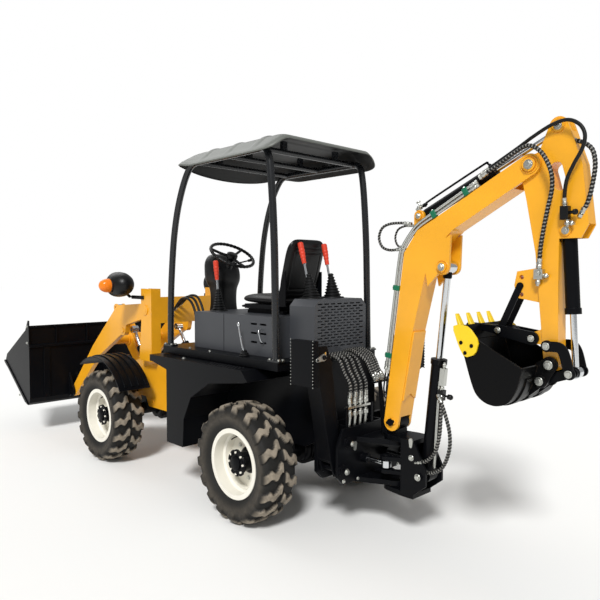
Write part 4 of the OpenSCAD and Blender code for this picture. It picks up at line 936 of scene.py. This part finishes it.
# Hoses given one by one: name, diameter, the bodies they join, whether they wear a guard, points in millimetres
HOSES = (
    # Boom pipes to the stick: the smooth one arches over the head, the guarded one drops in front of it
    ("hose_over_head", 0.018, ("boom", "stick"), False, (
        (-2335, 62, 2132), (-2420, 62, 2178), (-2520, 64, 2230), (-2600, 70, 2272), (-2695, 76, 2313),
        (-2773, 84, 2322), (-2832, 90, 2290), (-2858, 92, 2238), (-2848, 92, 2178), (-2811, 88, 2115),
        (-2775, 80, 2046), (-2762, 72, 1976), (-2762, 68, 1925))),
    ("hose_to_thumb", THICK, ("boom", "stick"), True, (
        (-2325, 66, 2112), (-2420, 68, 2160), (-2520, 74, 2212), (-2590, 90, 2228), (-2658, 100, 2184),
        (-2705, 102, 2093), (-2712, 98, 2009), (-2690, 88, 1920), (-2668, 78, 1830), (-2648, 68, 1730),
        (-2640, 62, 1640))),
    ("hose_behind_head", THICK, ("stick",), True, (
        (-2760, 20, 2235), (-2815, 30, 2222), (-2870, 40, 2180), (-2890, 48, 2108), (-2882, 50, 2022),
        (-2862, 46, 1941), (-2830, 40, 1880))),
    # Loops at the boom's bend
    ("hose_bend_loop", 0.017, ("boom",), True, (
        (-1850, 52, 1890), (-1790, 58, 1897), (-1715, 62, 1895), (-1660, 64, 1872), (-1637, 64, 1817),
        (-1660, 64, 1762), (-1715, 62, 1739), (-1800, 60, 1742))),
    ("hose_bend_short", 0.013, ("boom",), True, (
        (-1850, 20, 1880), (-1800, 24, 1880), (-1753, 28, 1861), (-1734, 30, 1814), (-1753, 32, 1767),
        (-1800, 34, 1748))),
    # Boom cylinder: from the swing post up to the valve on the barrel
    ("hose_boom_low", THICK, ("swing_post", "boom_barrel"), True, (
        (-1945, 80, 500), (-2001, 82, 520), (-2062, 82, 585), (-2088, 80, 680), (-2092, 74, 780),
        (-2080, 50, 860), (-2068, 30, 927))),
    ("hose_boom_high", THICK, ("swing_post", "boom_barrel"), True, (
        (-1943, 60, 455), (-2020, 62, 450), (-2098, 64, 500), (-2140, 62, 600), (-2142, 60, 700),
        (-2112, 58, 800), (-2066, 50, 896))),
)


def make_hoses():
    """Every hose, one by one or in a row, and the ferrules at their ends."""
    for name, diameter, pair, guard, points in HOSES:
        hose(name, np.array(points) / 1000, diameter, pair, guard)
    # Four hoses from under the grille to the manifold, and four to the guide on the swing post
    for i in range(4):
        top = np.array((-1.290, 0.235 - 0.16 * i / 3, 1.050))
        low = MANIFOLD - (0, 0.150 * i / 3, 0)
        points = (top, top + (-0.080, -0.008, 0.040), top + (-0.160, -0.016, 0.014),
                  top + (-0.200, -0.020, -0.060), low + (-0.004, 0.002, 0.080), low)
        hose(f"hose_valve_{i + 1}", points, THICK, ("chassis",), True)
    for i in range(4):
        s = i / 3
        top = np.array((-1.290, 0.055 - 0.11 * s, 1.056))
        points = (top, top + (-0.100, 0.010, 0.052), top + (-0.190, 0.020, 0.036),
                  (-1.545, 0.068 - 0.08 * s, 1.048 + 0.004 * i),
                  (-1.598, 0.085 - 0.07 * s, 0.988 + 0.006 * i),
                  GUIDE + np.array((0, 0.036 - 0.024 * i, 0.010 * (i % 2))))
        hose(f"hose_boom_{i + 1}", points, THICK, ("chassis", "swing_post"), True)
    # From the guide a slack loop hangs down and comes up to each boom pipe
    for i, out in enumerate(PIPE_OUT):
        end = pipe_point(0, out) + (0, 0, -0.004)
        far = end + (0.018, 0, -0.126)
        start = GUIDE + (-0.004, -0.086 + 0.012 * i, -0.014)
        near = np.array((*start[:2], far[2]))
        half = (far - near) / 2
        turn = np.linspace(0, np.pi, 7)[:, None]
        loop = near + half - np.cos(turn) * half - np.sin(turn) * (0, 0, np.linalg.norm(half))
        points = np.vstack([start, loop, (far + end) / 2, end])
        hose(f"hose_pipe_{i + 1}", points, SLIM, ("swing_post", "boom"), False)
    # Three hoses from the loader's cross plate over to the deck beside the console
    for i in range(3):
        y = 0.105 + 0.040 * i
        points = ((0.502, y, 1.330 - 0.030 * i), (0.455, y, 1.352 - 0.024 * i),
                  (0.340, y + 0.004, 1.412 - 0.012 * i), (0.215, y + 0.010, 1.400 - 0.010 * i),
                  (0.135, y + 0.014, 1.290), (0.112, y + 0.014, 1.150), (0.110, y + 0.014, 1.058))
        hose(f"hose_loader_{i + 1}", points, 0.020, ("front_frame", "chassis"), False)
    for body, parts in FERRULES.items():
        put(f"ferrules_{body}", parts, ZINC, body)


make_hoses()

# Valves, manifold and small pipes


def block(half, centre, ahead):
    """A box of half sizes about its centre, turned in the side view so that its length lies ahead."""
    p, f = brick(-np.array(half), half)
    return centre + p @ np.stack([ahead, LEFT, np.cross(ahead, LEFT)]), f


def union_nut(at, axis, radius, length):
    """A pipe fitting: a round neck with a chamfered hexagon about its middle."""
    neck, flat = radius * 0.7, radius * 1.12
    nut = [(length * t, r) for t, r in ((0.25, radius), (0.30, flat), (0.70, flat), (0.75, radius))]
    return joined([turned([(0, neck), (length, neck)], at, axis, 16), turned(nut, at, axis, 6)])


def cylinder_axes(cylinder, stroke):
    """A cylinder's base pin, its direction, and the direction square to it in the side view."""
    base = at_joint(cylinder)
    u = unit(at_joint(stroke) - base)
    return base, u, np.array((-u[2], 0, u[0]))


def make_manifold():
    """Manifold bar with fittings and down pipes under the grille, and the guide for the boom's hoses."""
    bright = []
    for i in range(4):
        at = MANIFOLD - (0, 0.05 * i, 0)
        bright.append(union_nut(at + (0, 0, -0.005), DOWN, 0.015, 0.050))
        bright.append(union_nut(at + (0, 0, -0.075), DOWN, 0.015, 0.055))
        bright.append(tube([at + (0, 0, -0.12), at + (0.004, 0, -0.17), at + (0.012, 0, -0.23)], 0.010, 12))
    bright.append(brick((-1.542, 0.020, 0.768), (-1.510, 0.236, 0.782)))
    put("manifold", bright, ZINC, "chassis", 40, 0.001)
    bracket = bars((-1.545, -1.537), (0.008, 0.246), (0.610, 0.784), 0.010)
    put("manifold_bracket", bracket, BLACK, "chassis", 40, 0.002)
    plate = slab([(-1.700, 0.615), (-1.655, 0.615), (-1.622, 0.935), (-1.650, 0.935)], 0.044, 0.052)
    bar = brick((-1.655, -0.035, 0.930), (-1.622, 0.115, 0.940))
    put("hose_guide", [plate, bar], BLACK, "swing_post", 40, 0.002)


def make_cylinder_valves():
    """Valve block with a knob on the boom cylinder, and the pipe and tee beside the stick cylinder."""
    base, u, out = cylinder_axes("boom_cylinder", "boom_stroke")
    valve = base + 0.600 * u + 0.056 * out + (0, 0.030, 0)
    feed = [valve - 0.03 * u - 0.022 * out, valve - 0.30 * u - 0.012 * out,
            base + 0.06 * u + 0.056 * out + (0, 0.03, 0)]
    bright = [block((0.050, 0.016, 0.016), valve, u), union_nut(valve + 0.05 * u, u, 0.011, 0.034),
              union_nut(valve - 0.05 * u, -u, 0.012, 0.034), tube(through(feed, 10), 0.007, 10)]
    knob = [(0, 0.010), (0.012, 0.010), (0.014, 0.006), (0.040, 0.006), (0.044, 0.014), (0.062, 0.016),
            (0.072, 0.010), (0.074, 0)]
    # A small pipe that turns back on itself: (distance along the barrel, distance out, distance left)
    arch = [valve + a * u + b * out + (0, y, 0) for a, b, y in (
        (0.076, 0, 0), (0.093, 0.001, 0.003), (0.099, -0.010, 0.008), (0.088, -0.024, 0.012),
        (0.064, -0.034, 0.010))]
    dark = [turned(knob, valve - 0.105 * u, out, 18), block((0.030, 0.018, 0.018), valve - 0.105 * u, u),
            tube(through(arch, 8), 0.005, 12)]
    put("boom_valve", bright, ZINC, "boom_barrel", 40, 0.001)
    put("boom_valve_knob", dark, PLASTIC, "boom_barrel", 50)

    base, u, out = cylinder_axes("stick_cylinder", "stick_stroke")
    out = out if u[0] > 0 else -out
    # Pipe along the barrel: (distance along it, distance out)
    line = [base + a * u + b * out
            for a, b in ((0.050, 0.060), (0.075, 0.066), (0.440, 0.066), (0.470, 0.060), (0.480, 0.030))]
    pipe = [tube(even(through(line, 8), 0.008), 0.006, 12),
            union_nut(base + 0.480 * u + 0.024 * out, out, 0.010, 0.024),
            union_nut(base + 0.048 * u + 0.058 * out, -u, 0.011, 0.03)]
    put("stick_pipe", pipe, BLACK, "stick_barrel", 60)
    tee = base + 0.02 * u + 0.062 * out
    stem = [(0, 0.006), (0.03, 0.006), (0.032, 0.014), (0.036, 0.014)]
    tee_parts = [union_nut(tee, -u, 0.013, 0.05), turned(stem, tee - 0.02 * u, out, 14)]
    put("stick_tee", tee_parts, ZINC, "stick_barrel")


def make_stick_valves():
    """Two small valves on the stick, with the fittings that the hoses end in."""
    head = np.array((-2.762, 0.062, 1.900))
    mid = np.array((-2.640, 0.062, 1.600))
    tap = [(0, 0.008), (0.030, 0.008), (0.034, 0.014), (0.048, 0.014), (0.050, 0.008)]
    dark = [brick(head + (-0.020, -0.018, -0.045), head + (0.020, 0.018, 0.020)),
            turned(tap, head + (-0.016, 0.0, -0.012), (-0.9, 0.4, 0), 16)]
    # Fittings: (place from the valve, axis, radius, length)
    head_nuts = (((0, 0, 0.018), UP, 0.011, 0.03), ((-0.012, 0.0, -0.045), DOWN, 0.012, 0.034),
                 ((-0.020, 0.004, -0.060), (-1, 0.2, -0.2), 0.011, 0.030))
    mid_nuts = (((0, 0, 0.018), UP, 0.012, 0.030), ((-0.020, 0, -0.010), (-1, 0, -0.2), 0.011, 0.028),
                ((0.004, 0.0, -0.028), (0.1, 0, -1), 0.012, 0.036), ((0.0, 0.014, 0.0), LEFT, 0.012, 0.018))
    bright = [union_nut(head + at, *rest) for at, *rest in head_nuts]
    bright.append(brick(mid + (-0.022, -0.016, -0.030), mid + (0.022, 0.016, 0.020)))
    bright += [union_nut(mid + at, *rest) for at, *rest in mid_nuts]
    put("stick_valve_body", dark, PLASTIC, "stick", 40, 0.002)
    put("stick_valve_nuts", bright, ZINC, "stick", 40)


make_manifold()
make_cylinder_valves()
make_stick_valves()

# Backhoe bucket, linkage and pin heads


def link(a, b, first_r, last_r):
    """Outline round two circles and their outer tangents."""
    a, b = np.asarray(a, float), np.asarray(b, float)
    middle = math.atan2(b[1] - a[1], b[0] - a[0])
    lean = math.acos((first_r - last_r) / math.hypot(*(b - a)))
    near = np.linspace(middle + lean, middle + 2 * np.pi - lean, 16)
    far = np.linspace(middle - lean, middle + lean, 16)
    return np.vstack([centre + radius * np.stack([np.cos(turn), np.sin(turn)], 1)
                      for centre, radius, turn in ((a, first_r, near), (b, last_r, far))])


def offset(path, distance):
    """A flat path moved sideways, to its left, by a distance."""
    ahead = np.gradient(np.asarray(path, float), axis=0)
    ahead /= np.linalg.norm(ahead, axis=1, keepdims=True)
    return path + np.stack([-ahead[:, 1], ahead[:, 0]], 1) * distance


def strip(path, left, right):
    """Outline of a band along a flat path, from one offset to another."""
    return np.vstack([offset(path, left), offset(path, right)[::-1]])


def soften(outline):
    """An outline whose corners are cut at a fifth of each side."""
    ahead = np.roll(outline, -1, axis=0)
    return np.stack([0.8 * outline + 0.2 * ahead, 0.2 * outline + 0.8 * ahead], 1).reshape(-1, 2)


def cross_pin(at, low, high, radius):
    """A round bar with chamfered ends across the machine, at a point of the side view."""
    n = high - low
    c = min(0.002, radius * 0.2)
    profile = [(0, radius - c), (c, radius), (n - c, radius), (n, radius - c)]
    return turned(profile, (at[0], low, at[1]), LEFT, 24)


def side_joint(name):
    """A joint's point in the side view, (x, z)."""
    return at_joint(name)[[0, 2]]


HINGE = side_joint("hoe_curl")
LINK_PIN = side_joint("hoe_link_turn")
GUIDE_PIN = side_joint("guide_turn")
LINK_JOINT = side_joint("hoe_stroke")
HOE_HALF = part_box("hoe_bucket")[1][1]
HOE_WALL = 0.013
# Section of the bucket's wrapper from lip to ears, from the hinge pin
WRAPPER = (
    (0.418, 0.175), (0.372, 0.026), (0.327, -0.112), (0.296, -0.170), (0.246, -0.203), (0.186, -0.209),
    (0.128, -0.184), (0.089, -0.124), (0.070, -0.062), (0.056, -0.010))
BUCKET_LINE = HINGE + even(through(WRAPPER, 10), 0.010)
# Gusset behind each ear, from the hinge pin
GUSSET = ((0.0, 0.040), (0.066, 0.004), (0.104, -0.172), (0.045, -0.122), (0.045, -0.086))


def make_hoe_bucket():
    """Bucket of a bent wrapper between two side plates, with wear straps, a lip and ears for two pins."""
    parts = [slab(strip(BUCKET_LINE, -HOE_WALL, 0), -HOE_HALF + 0.004, HOE_HALF - 0.004)]
    parts.append(both(slab(BUCKET_LINE, HOE_HALF - HOE_WALL, HOE_HALF)))
    parts += [slab(strip(BUCKET_LINE[22:-6], 0, 0.007), y - 0.028, y + 0.028) for y in (-0.130, 0.0, 0.130)]
    parts.append(slab(strip(BUCKET_LINE[:9], -0.019, 0.001), -HOE_HALF - 0.001, HOE_HALF + 0.001))
    parts.append(both(slab(link(HINGE, LINK_PIN, 0.040, 0.036), 0.049, 0.066)))
    parts.append(both(slab(HINGE + np.array(GUSSET), 0.049, 0.0655)))
    collar = [(0, 0.032), (0.007, 0.032), (0.009, 0.029)]
    for at in (HINGE, LINK_PIN):
        parts.append(cross_pin(at, -0.076, 0.076, 0.020))
        parts.append(both(turned(collar, (at[0], 0.066, at[1]), LEFT, 28)))
    piece = put("hoe_bucket_shell", parts, BUCKET_BLACK, "hoe_bucket", 40, 0.0015)
    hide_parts("hoe_bucket")


# A tooth's sections: share of its length, of its width and of its depth
TOOTH_ROWS = np.array((
    (0, 0.9, 0.9), (0.10, 1.0, 1.0), (0.35, 1.0, 1.0), (0.45, 0.84, 0.80), (0.80, 0.76, 0.50),
    (0.97, 0.70, 0.26), (1.0, 0.64, 0.16)))


def tooth(y, base, tip, width, deep):
    """A cast tooth: superellipse sections that swell past the socket and thin to a chisel edge."""
    t, w, d = (TOOTH_ROWS[:, k][:, None] for k in range(3))
    c, s = np.cos(circle(24))[None], np.sin(circle(24))[None]
    across = width * w * np.sign(c) * np.abs(c) ** 0.5
    out = deep * d * np.sign(s) * np.abs(s) ** 0.5
    length = np.linalg.norm(tip - base)
    ahead = (tip - base) / length
    x = base[0] + t * length * ahead[0] - out * ahead[1]
    z = base[1] + t * length * ahead[1] + out * ahead[0]
    return capped(np.stack([x, y + across, z], -1))


CUTTER = np.array(((-2.262, 1.324), (-2.300, 1.336), (-2.358, 1.328), (-2.416, 1.258), (-2.398, 1.188),
                   (-2.338, 1.166), (-2.304, 1.218)))
CUTTER_BOLTS = ((-2.316, 1.243), (-2.376, 1.231), (-2.340, 1.192))
CUTTER_T = 0.012


def make_teeth():
    """Four cast teeth on the lip and a bolted cutter on each side plate."""
    base, tip = HINGE + (0.407, 0.116), HINGE + (0.455, 0.236)
    parts = [tooth(y, base, tip, 0.024, 0.015) for y in (-0.163, -0.0545, 0.0545, 0.163)]
    parts.append(both(slab(soften(CUTTER), HOE_HALF, HOE_HALF + CUTTER_T)))
    piece = put("hoe_teeth_cast", parts, TOOTH, "hoe_bucket", 35, 0.002)
    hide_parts("hoe_teeth")
    put("cutter_bolts", side_bolts(CUTTER_BOLTS, HOE_HALF + CUTTER_T, 0.0075), BLACK, "hoe_bucket")


def make_guides():
    """Guide links: two curved bars that join the stick to the bucket link, with bosses and a cross pin."""
    line = through((GUIDE_PIN, GUIDE_PIN + (-0.074, -0.012), LINK_JOINT), 14)
    boss = [(0, 0.029), (0.012, 0.029), (0.014, 0.026), (0.020, 0.024)]
    parts = [both(slab(strip(line, -0.025, 0.025), 0.072, 0.084))]
    parts += [both(turned(boss, (at[0], 0.071, at[1]), LEFT, 32)) for at in (GUIDE_PIN, LINK_JOINT)]
    parts.append(cross_pin(GUIDE_PIN, -0.090, 0.090, 0.016))
    parts.append(both(cross_pin(LINK_JOINT, 0.044, 0.075, 0.015)))
    piece = put("guide_bars", parts, BLACK, "guide_links", 40, 0.0015)
    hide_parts("guide_links")


make_hoe_bucket()
make_teeth()
make_guides()


def face_y(node, at, reach=0.07):
    """How far out to the left a node reaches near a point of the side view."""
    piece = NODES[node]
    turn = np.array(piece.matrix_world)
    co = points_of(piece.data) @ turn[:3, :3].T + turn[:3, 3]
    near = np.hypot(co[:, 0] - at[0], co[:, 2] - at[1]) < reach
    return float(co[near, 1].max())


FOOT = BOOM_FOOT[[0, 2]]
THUMB_PIN = HINGE + (0.096, 0.122)
THUMB_MID = THUMB_PIN + (0.180, 0.030)

# Pin heads: (place in the side view, node they sit on, body, size)
HEADS = (
    (side_joint("stick_swing"), "boom", "boom", 0.018), (side_joint("boom_stroke"), "boom", "boom", 0.016),
    (side_joint("stick_cylinder"), "boom", "boom", 0.012),
    (side_joint("stick_stroke"), "stick", "stick", 0.015),
    (side_joint("hoe_cylinder"), "stick", "stick", 0.014),
    (THUMB_PIN, "thumb", "stick", 0.013), (THUMB_MID, "thumb", "stick", 0.013),
    (side_joint("boom_cylinder"), "swing_post", "swing_post", 0.015),
    (side_joint("crank"), "bellcrank", "bellcrank", 0.016))
# Pin heads on pieces made here: (place in the side view, distance out, body, size)
MORE_HEADS = ((HINGE, 0.0755, "hoe_bucket", 0.017), (LINK_PIN, 0.0755, "hoe_bucket", 0.016),
              (GUIDE_PIN, 0.0905, "guide_links", 0.014), (LINK_JOINT, 0.0905, "guide_links", 0.014))


def make_heads():
    """Hexagon heads on washers at both ends of each pin, and ring beads of weld round their bosses."""
    groups, beads = {}, {}
    for at, node, body, size in HEADS:
        y = face_y(node, at)
        groups.setdefault(body, []).extend(side_bolts([at], y, size))
        if node in ("boom", "stick"):
            turn = np.linspace(0, 2 * np.pi, 49)
            x, z = at[0] + size * 2.35 * np.cos(turn), at[1] + size * 2.35 * np.sin(turn)
            ring = np.stack([x, np.full(49, y - 0.0095), z], 1)
            bead = tube(ring, 0.0035 + 0.0006 * np.cos(turn * 24), 8, False)
            beads.setdefault(body, []).append(both(bead))
    for at, y, body, size in MORE_HEADS:
        groups.setdefault(body, []).extend(side_bolts([at], y, size))
    for body, parts in groups.items():
        put(f"pin_heads_{body}", parts, ZINC, body)
    for body, parts in beads.items():
        put(f"weld_rings_{body}", parts, YELLOW, body, 80)


def make_boom_plates():
    """Lock plates on the boom's foot pin and the swing post, the boom's rear plate, and a rod sleeve."""
    y = face_y("boom", FOOT, 0.05)
    ends = FOOT + np.array(((-0.020, 0.008), (0.024, -0.006)))
    put("foot_lock", both(slab(link(*ends, 0.018, 0.018), y - 0.001, y + 0.008)), YELLOW, "boom", 40, 0.001)
    put("foot_lock_bolts", side_bolts(ends, y + 0.008, 0.007), BLACK, "boom")
    y = face_y("swing_post", (-1.905, 0.600), 0.12)
    cheek = link((-1.905, 0.622), (-1.905, 0.590), 0.014, 0.010)
    lock = [both(slab(cheek, y - 0.001, y + 0.006))] + side_bolts([(-1.906, 0.520)], y, 0.013)
    put("post_lock", lock, ZINC, "swing_post")
    up = np.array((-0.098, 0, 0.560)) / math.hypot(0.098, 0.560)
    rear = np.array((-up[2], 0, up[0]))
    outline = [(-0.061, 0.142), (0, 0.180), (0.061, 0.142), (0.061, 0.566), (-0.061, 0.566)]
    p, f = slab(outline, 0, 0.009, "yz")
    foot = np.array((FOOT[0] - 0.054, 0, FOOT[1] + 0.002))
    plate = foot + p[:, 2:] * up + p[:, 1:2] * LEFT + p[:, :1] * rear
    put("boom_rear_plate", (plate, f), YELLOW, "boom", 30, 0.0015)
    along = cylinder_axes("boom_cylinder", "boom_stroke")[1]
    sleeve = [(0.030, 0.0235), (0.034, 0.0255), (0.060, 0.0255), (0.064, 0.0215)]
    put("boom_rod_sleeve", turned(sleeve, at_joint("boom_stroke"), -along, 32), BLACK, "boom_rod")


make_heads()
make_boom_plates()

# Wheels

# Hub turned about the axle: (distance out, radius)
HUB_PROFILE = (
    (-0.0275, 0.086), (-0.020, 0.078), (-0.008, 0.064), (0.058, 0.062), (0.0605, 0.084), (0.0625, 0.0865),
    (0.073, 0.0865), (0.0755, 0.084), (0.076, 0.048), (0.088, 0.046), (0.093, 0.038), (0.094, 0.0))
HUB_BOLTS = 10
WHEEL_NUTS = 8
VALVE_TURN = 0.9


def make_hubs():
    """Black planet hubs with a scalloped flange and bolts, bright nuts round the disc, and a valve stem."""
    for name, side in WHEELS:
        body = f"wheel_{name}"
        centre, axis = at_joint(body), np.array((0, side, 0))

        def spot(r, out, turn):
            """A point that far from the axle and out along it, at a turn."""
            return centre + axis * out + r * np.array((np.cos(turn), 0, np.sin(turn)))

        points, faces = turned(HUB_PROFILE, centre, axis, 96)
        x, y, z = (points - centre).T
        flange = (np.abs(y * side - 0.068) < 0.009) & (np.hypot(x, z) > 0.07)
        scallop = 1 - 0.045 * smooth(np.cos(HUB_BOLTS * np.arctan2(z, x)), 0.2, 0.9)
        grow = np.where(flange, scallop, 1)
        hub = [(centre + np.stack([x * grow, y, z * grow], 1), faces)]
        between = circle(HUB_BOLTS) + np.pi / HUB_BOLTS
        hub += [hex_bolt(spot(0.066, 0.0755, a), axis, 0.008) for a in between]
        put(f"hub_{name}", hub, BLACK, body, 40)
        nuts = [hex_bolt(spot(0.118, -0.0285, a), axis, 0.011) for a in circle(WHEEL_NUTS)]
        put(f"wheel_nuts_{name}", nuts, ZINC, body)
        stem = [spot(r, out, VALVE_TURN) for r, out in ((0.172, -0.020), (0.168, 0.010), (0.160, 0.034))]
        put(f"valve_{name}", tube(through(stem, 6), 0.004, 10), RUBBER, body, slot="black_plastic")


make_hubs()

# Stabilizers, hood, steps and lamps

PAD_X = -1.460
PAD_Z = np.linspace(0.944, 1.212, 29)
PAD_Y = (0.545, 0.553)
# Eye on a stabilizer's leg: (y, z) of its two bolts, and their sizes
LEG_EYE = ((0.522, 1.100), (0.468, 1.112))
EYE_BOLTS = (0.006, 0.011)
FRAME_BACK = -1.590
# Bolts on the backhoe frame's back: (y, z, size)
FRAME_BOLTS = ((0.300, 0.410, 0.014), (0.250, 0.570, 0.012), (0.330, 0.360, 0.009), (0.200, 0.350, 0.008))


def make_stabilizers():
    """Pads whose edges are cut into worn teeth, eyes on the legs, and bolts on the backhoe frame."""
    bite = np.where(np.arange(len(PAD_Z)) % 2, 0.088, 0.097)
    outline = np.vstack([np.stack([PAD_X + bite, PAD_Z], 1), np.stack([PAD_X - bite, PAD_Z], 1)[::-1]])
    tip = [(0, 0.0035), (0.001, 0.003), (0.0012, 0)]
    for name, side in SIDES:
        body = f"stab_leg_{name}"
        p, f = slab(outline, *PAD_Y)
        put(f"pad_{name}", (p * (1, side, 1), f), BLACK, body, 30, 0.001)
        tips = [turned(tip, (PAD_X + dx, side * PAD_Y[1], z), (0, side, 0), 10)
                for z in PAD_Z[::2] for dx in (-0.092, 0.092)]
        put(f"pad_wear_{name}", tips, ZINC, body)
        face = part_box(f"stab_leg_{name}")[0][0]
        p, f = slab(link(*LEG_EYE, 0.011, 0.021), face - 0.012, face + 0.001, "yz")
        put(f"leg_eye_{name}", (p * (1, side, 1), f), ZINC, body, 40, 0.002)
        bolts = [hex_bolt((face - 0.012, side * y, z), BACK, r) for (y, z), r in zip(LEG_EYE, EYE_BOLTS)]
        put(f"leg_eye_bolts_{name}", bolts, BLACK, body)
    key = link((0.224, 0.566), (0.224, 0.536), 0.016, 0.011)
    shapes = [both(slab(key, FRAME_BACK, FRAME_BACK + 0.006, "yz"))]
    shapes += [both(hex_bolt((FRAME_BACK, y, z), BACK, r)) for y, z, r in FRAME_BOLTS]
    put("frame_bolts", shapes, ZINC, "chassis")


make_stabilizers()
STEP_Z = 0.980


def make_hood_fittings():
    """Hand lever on the platform, hood latch, panel seam, anti-slip studs on the steps, and bolts along the
    platform's edge."""
    line = [(x, 0.420, z) for x, z in ((-0.766, 1.066), (-0.748, 1.105), (-0.727, 1.175), (-0.711, 1.238))]
    knob = [(0, 0.008), (0.004, 0.011), (0.024, 0.012), (0.030, 0.008), (0.031, 0)]
    lever = [tube(through(line, 8), 0.0065, 14), turned(knob, (-0.711, 0.420, 1.236), (0.2, 0, 1), 16)]
    put("hand_lever", lever, CHROME, "chassis")
    boot = [(0, 0.036), (0.006, 0.036), (0.010, 0.028), (0.018, 0.030), (0.026, 0.020), (0.034, 0.022),
            (0.042, 0.010)]
    boot = turned(boot, (-0.770, 0.420, DECK_Z), (0.1, 0, 1), 28)
    put("hand_lever_boot", boot, RUBBER, "chassis", slot="black_plastic")
    bow = [(-0.858, 0.351, 1.226), (-0.862, 0.372, 1.214), (-0.877, 0.376, 1.176), (-0.892, 0.372, 1.140),
           (-0.896, 0.351, 1.128)]
    put("hood_latch", tube(through(bow, 8), 0.005, 12), CHROME, "chassis")
    seam = brick((-0.450, 0.350, DECK_Z + 0.004), (-0.446, 0.3512, SEAT_TOP - 0.004))
    put("hood_seam", both(seam), BLACK, "chassis")
    stud = [(0, 0.010), (0.0025, 0.009), (0.004, 0.005), (0.0042, 0)]
    studs = [both(turned(stud, (x, y, STEP_Z), UP, 14))
             for y in np.linspace(0.515, 0.585, 3) for x in np.linspace(-0.88, -0.54, 12)]
    put("step_studs", studs, BLACK, "chassis", 60)
    bolts = [both(hex_bolt((x, 0.440, DECK_Z), UP, 0.009)) for x in (-0.40, -0.15, 0.10)]
    bolts.append(both(hex_bolt((-0.233, 0.550, STEP_Z), UP, 0.011)))
    put("deck_bolts", bolts, ZINC, "chassis")


make_hood_fittings()
LAMP = np.array((0.810, 0.500, 1.505))
LENS = LAMP - (0, 0, 0.008)


def make_lamps_and_lenses():
    """Bullet lamp shells with bright fronts, and domed amber lenses on their outer sides."""
    shell = [(0.052, 0.094), (0.056, 0.100), (0.050, 0.106), (0.010, 0.107), (-0.040, 0.102),
             (-0.090, 0.086), (-0.130, 0.062), (-0.152, 0.032), (-0.157, 0.0)]
    put("lamp_shells", both(turned(shell, LAMP, AHEAD, 48)), PLASTIC, "front_frame")
    glass = [(0.050, 0.096), (0.054, 0.094), (0.060, 0.060), (0.063, 0.0)]
    put("lamp_glass", both(turned(glass, LAMP, AHEAD, 40)), CHROME, "front_frame", 60)
    socket = [(0.070, 0.066), (0.096, 0.064), (0.100, 0.060)]
    put("lens_sockets", both(turned(socket, LENS, LEFT, 40)), PLASTIC, "front_frame")
    t = np.linspace(0, 1, 33)
    rings = 0.0008 * np.cos(2 * np.pi * 9 * t) * (t < 0.9)
    dome = np.stack([0.096 + 0.090 * t, 0.058 * np.sqrt(np.clip(1 - t ** 2.6, 0, 1)) + rings], 1)
    dome[-1, 1] = 0
    lens = put("amber_domes", both(turned(dome, LENS, LEFT, 40)), AMBER, "front_frame", 60)
    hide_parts("indicator_lenses")


make_lamps_and_lenses()


def make_loader_trim():
    """Bars, ribs and straps on the loader bucket's back, and bolted plates on its sides."""
    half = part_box("loader_bucket")[1][1]
    z = BUCKET[2]
    back = BUCKET[0] + 0.065
    corner = np.array((back, z))
    bar = corner + np.array(((0, 0.470), (-0.022, 0.480), (-0.022, 0.496), (0, 0.506)))
    lip = corner + np.array(((0.002, 0.684), (-0.016, 0.690), (-0.016, 0.672), (0.002, 0.660)))
    parts = [slab(bar, -half, half), slab(lip, -half, half)]
    parts += bars((back - 0.016, back + 0.001), (-0.50, -0.18, 0.18, 0.50), (z + 0.490, z + 0.686), 0.006)
    parts += bars((back - 0.012, back + 0.001), (-0.60, 0.60), (z - 0.020, z + 0.474), 0.030)
    cheek = corner + np.array(((-0.020, 0.740), (0.006, 0.742), (0.120, 0.560), (0.030, 0.470),
                               (-0.020, 0.480)))
    edge = BUCKET[[0, 2]] + np.array(((0.100, -0.094), (0.180, -0.080), (0.735, 0.270), (0.720, 0.292),
                                      (0.160, -0.055)))
    parts += [both(slab(outline, half - 0.001, half + 0.009)) for outline in (cheek, edge)]
    put("loader_trim", parts, BLACK, "loader_bucket", 40, 0.0015)
    spots = corner + np.array(((0.020, 0.520), (0.020, 0.680), (0.240, -0.025)))
    put("loader_bolts", side_bolts(spots, half + 0.009, 0.010), ZINC, "loader_bucket")


make_loader_trim()

# Floor

FLOOR_R = 60
FLOOR_Z = -0.002


def make_floor():
    """A flat pale disc, wide enough that its edge is lost in the white."""
    material = finish_surface(new_material("studio_floor")[0], {
        "Base Color": linear("#f4f4f2"), "Roughness": 0.9, "Specular IOR Level": 0.0})
    turn = circle(64)
    ring = np.stack([FLOOR_R * np.cos(turn), FLOOR_R * np.sin(turn), np.full(64, FLOOR_Z)], axis=1)
    mesh = bpy.data.meshes.new("floor")
    mesh.from_pydata(ring.tolist(), [], [list(range(64))])
    mesh.materials.append(material)
    floor = bpy.data.objects.new("floor", mesh)
    bpy.context.collection.objects.link(floor)


make_floor()
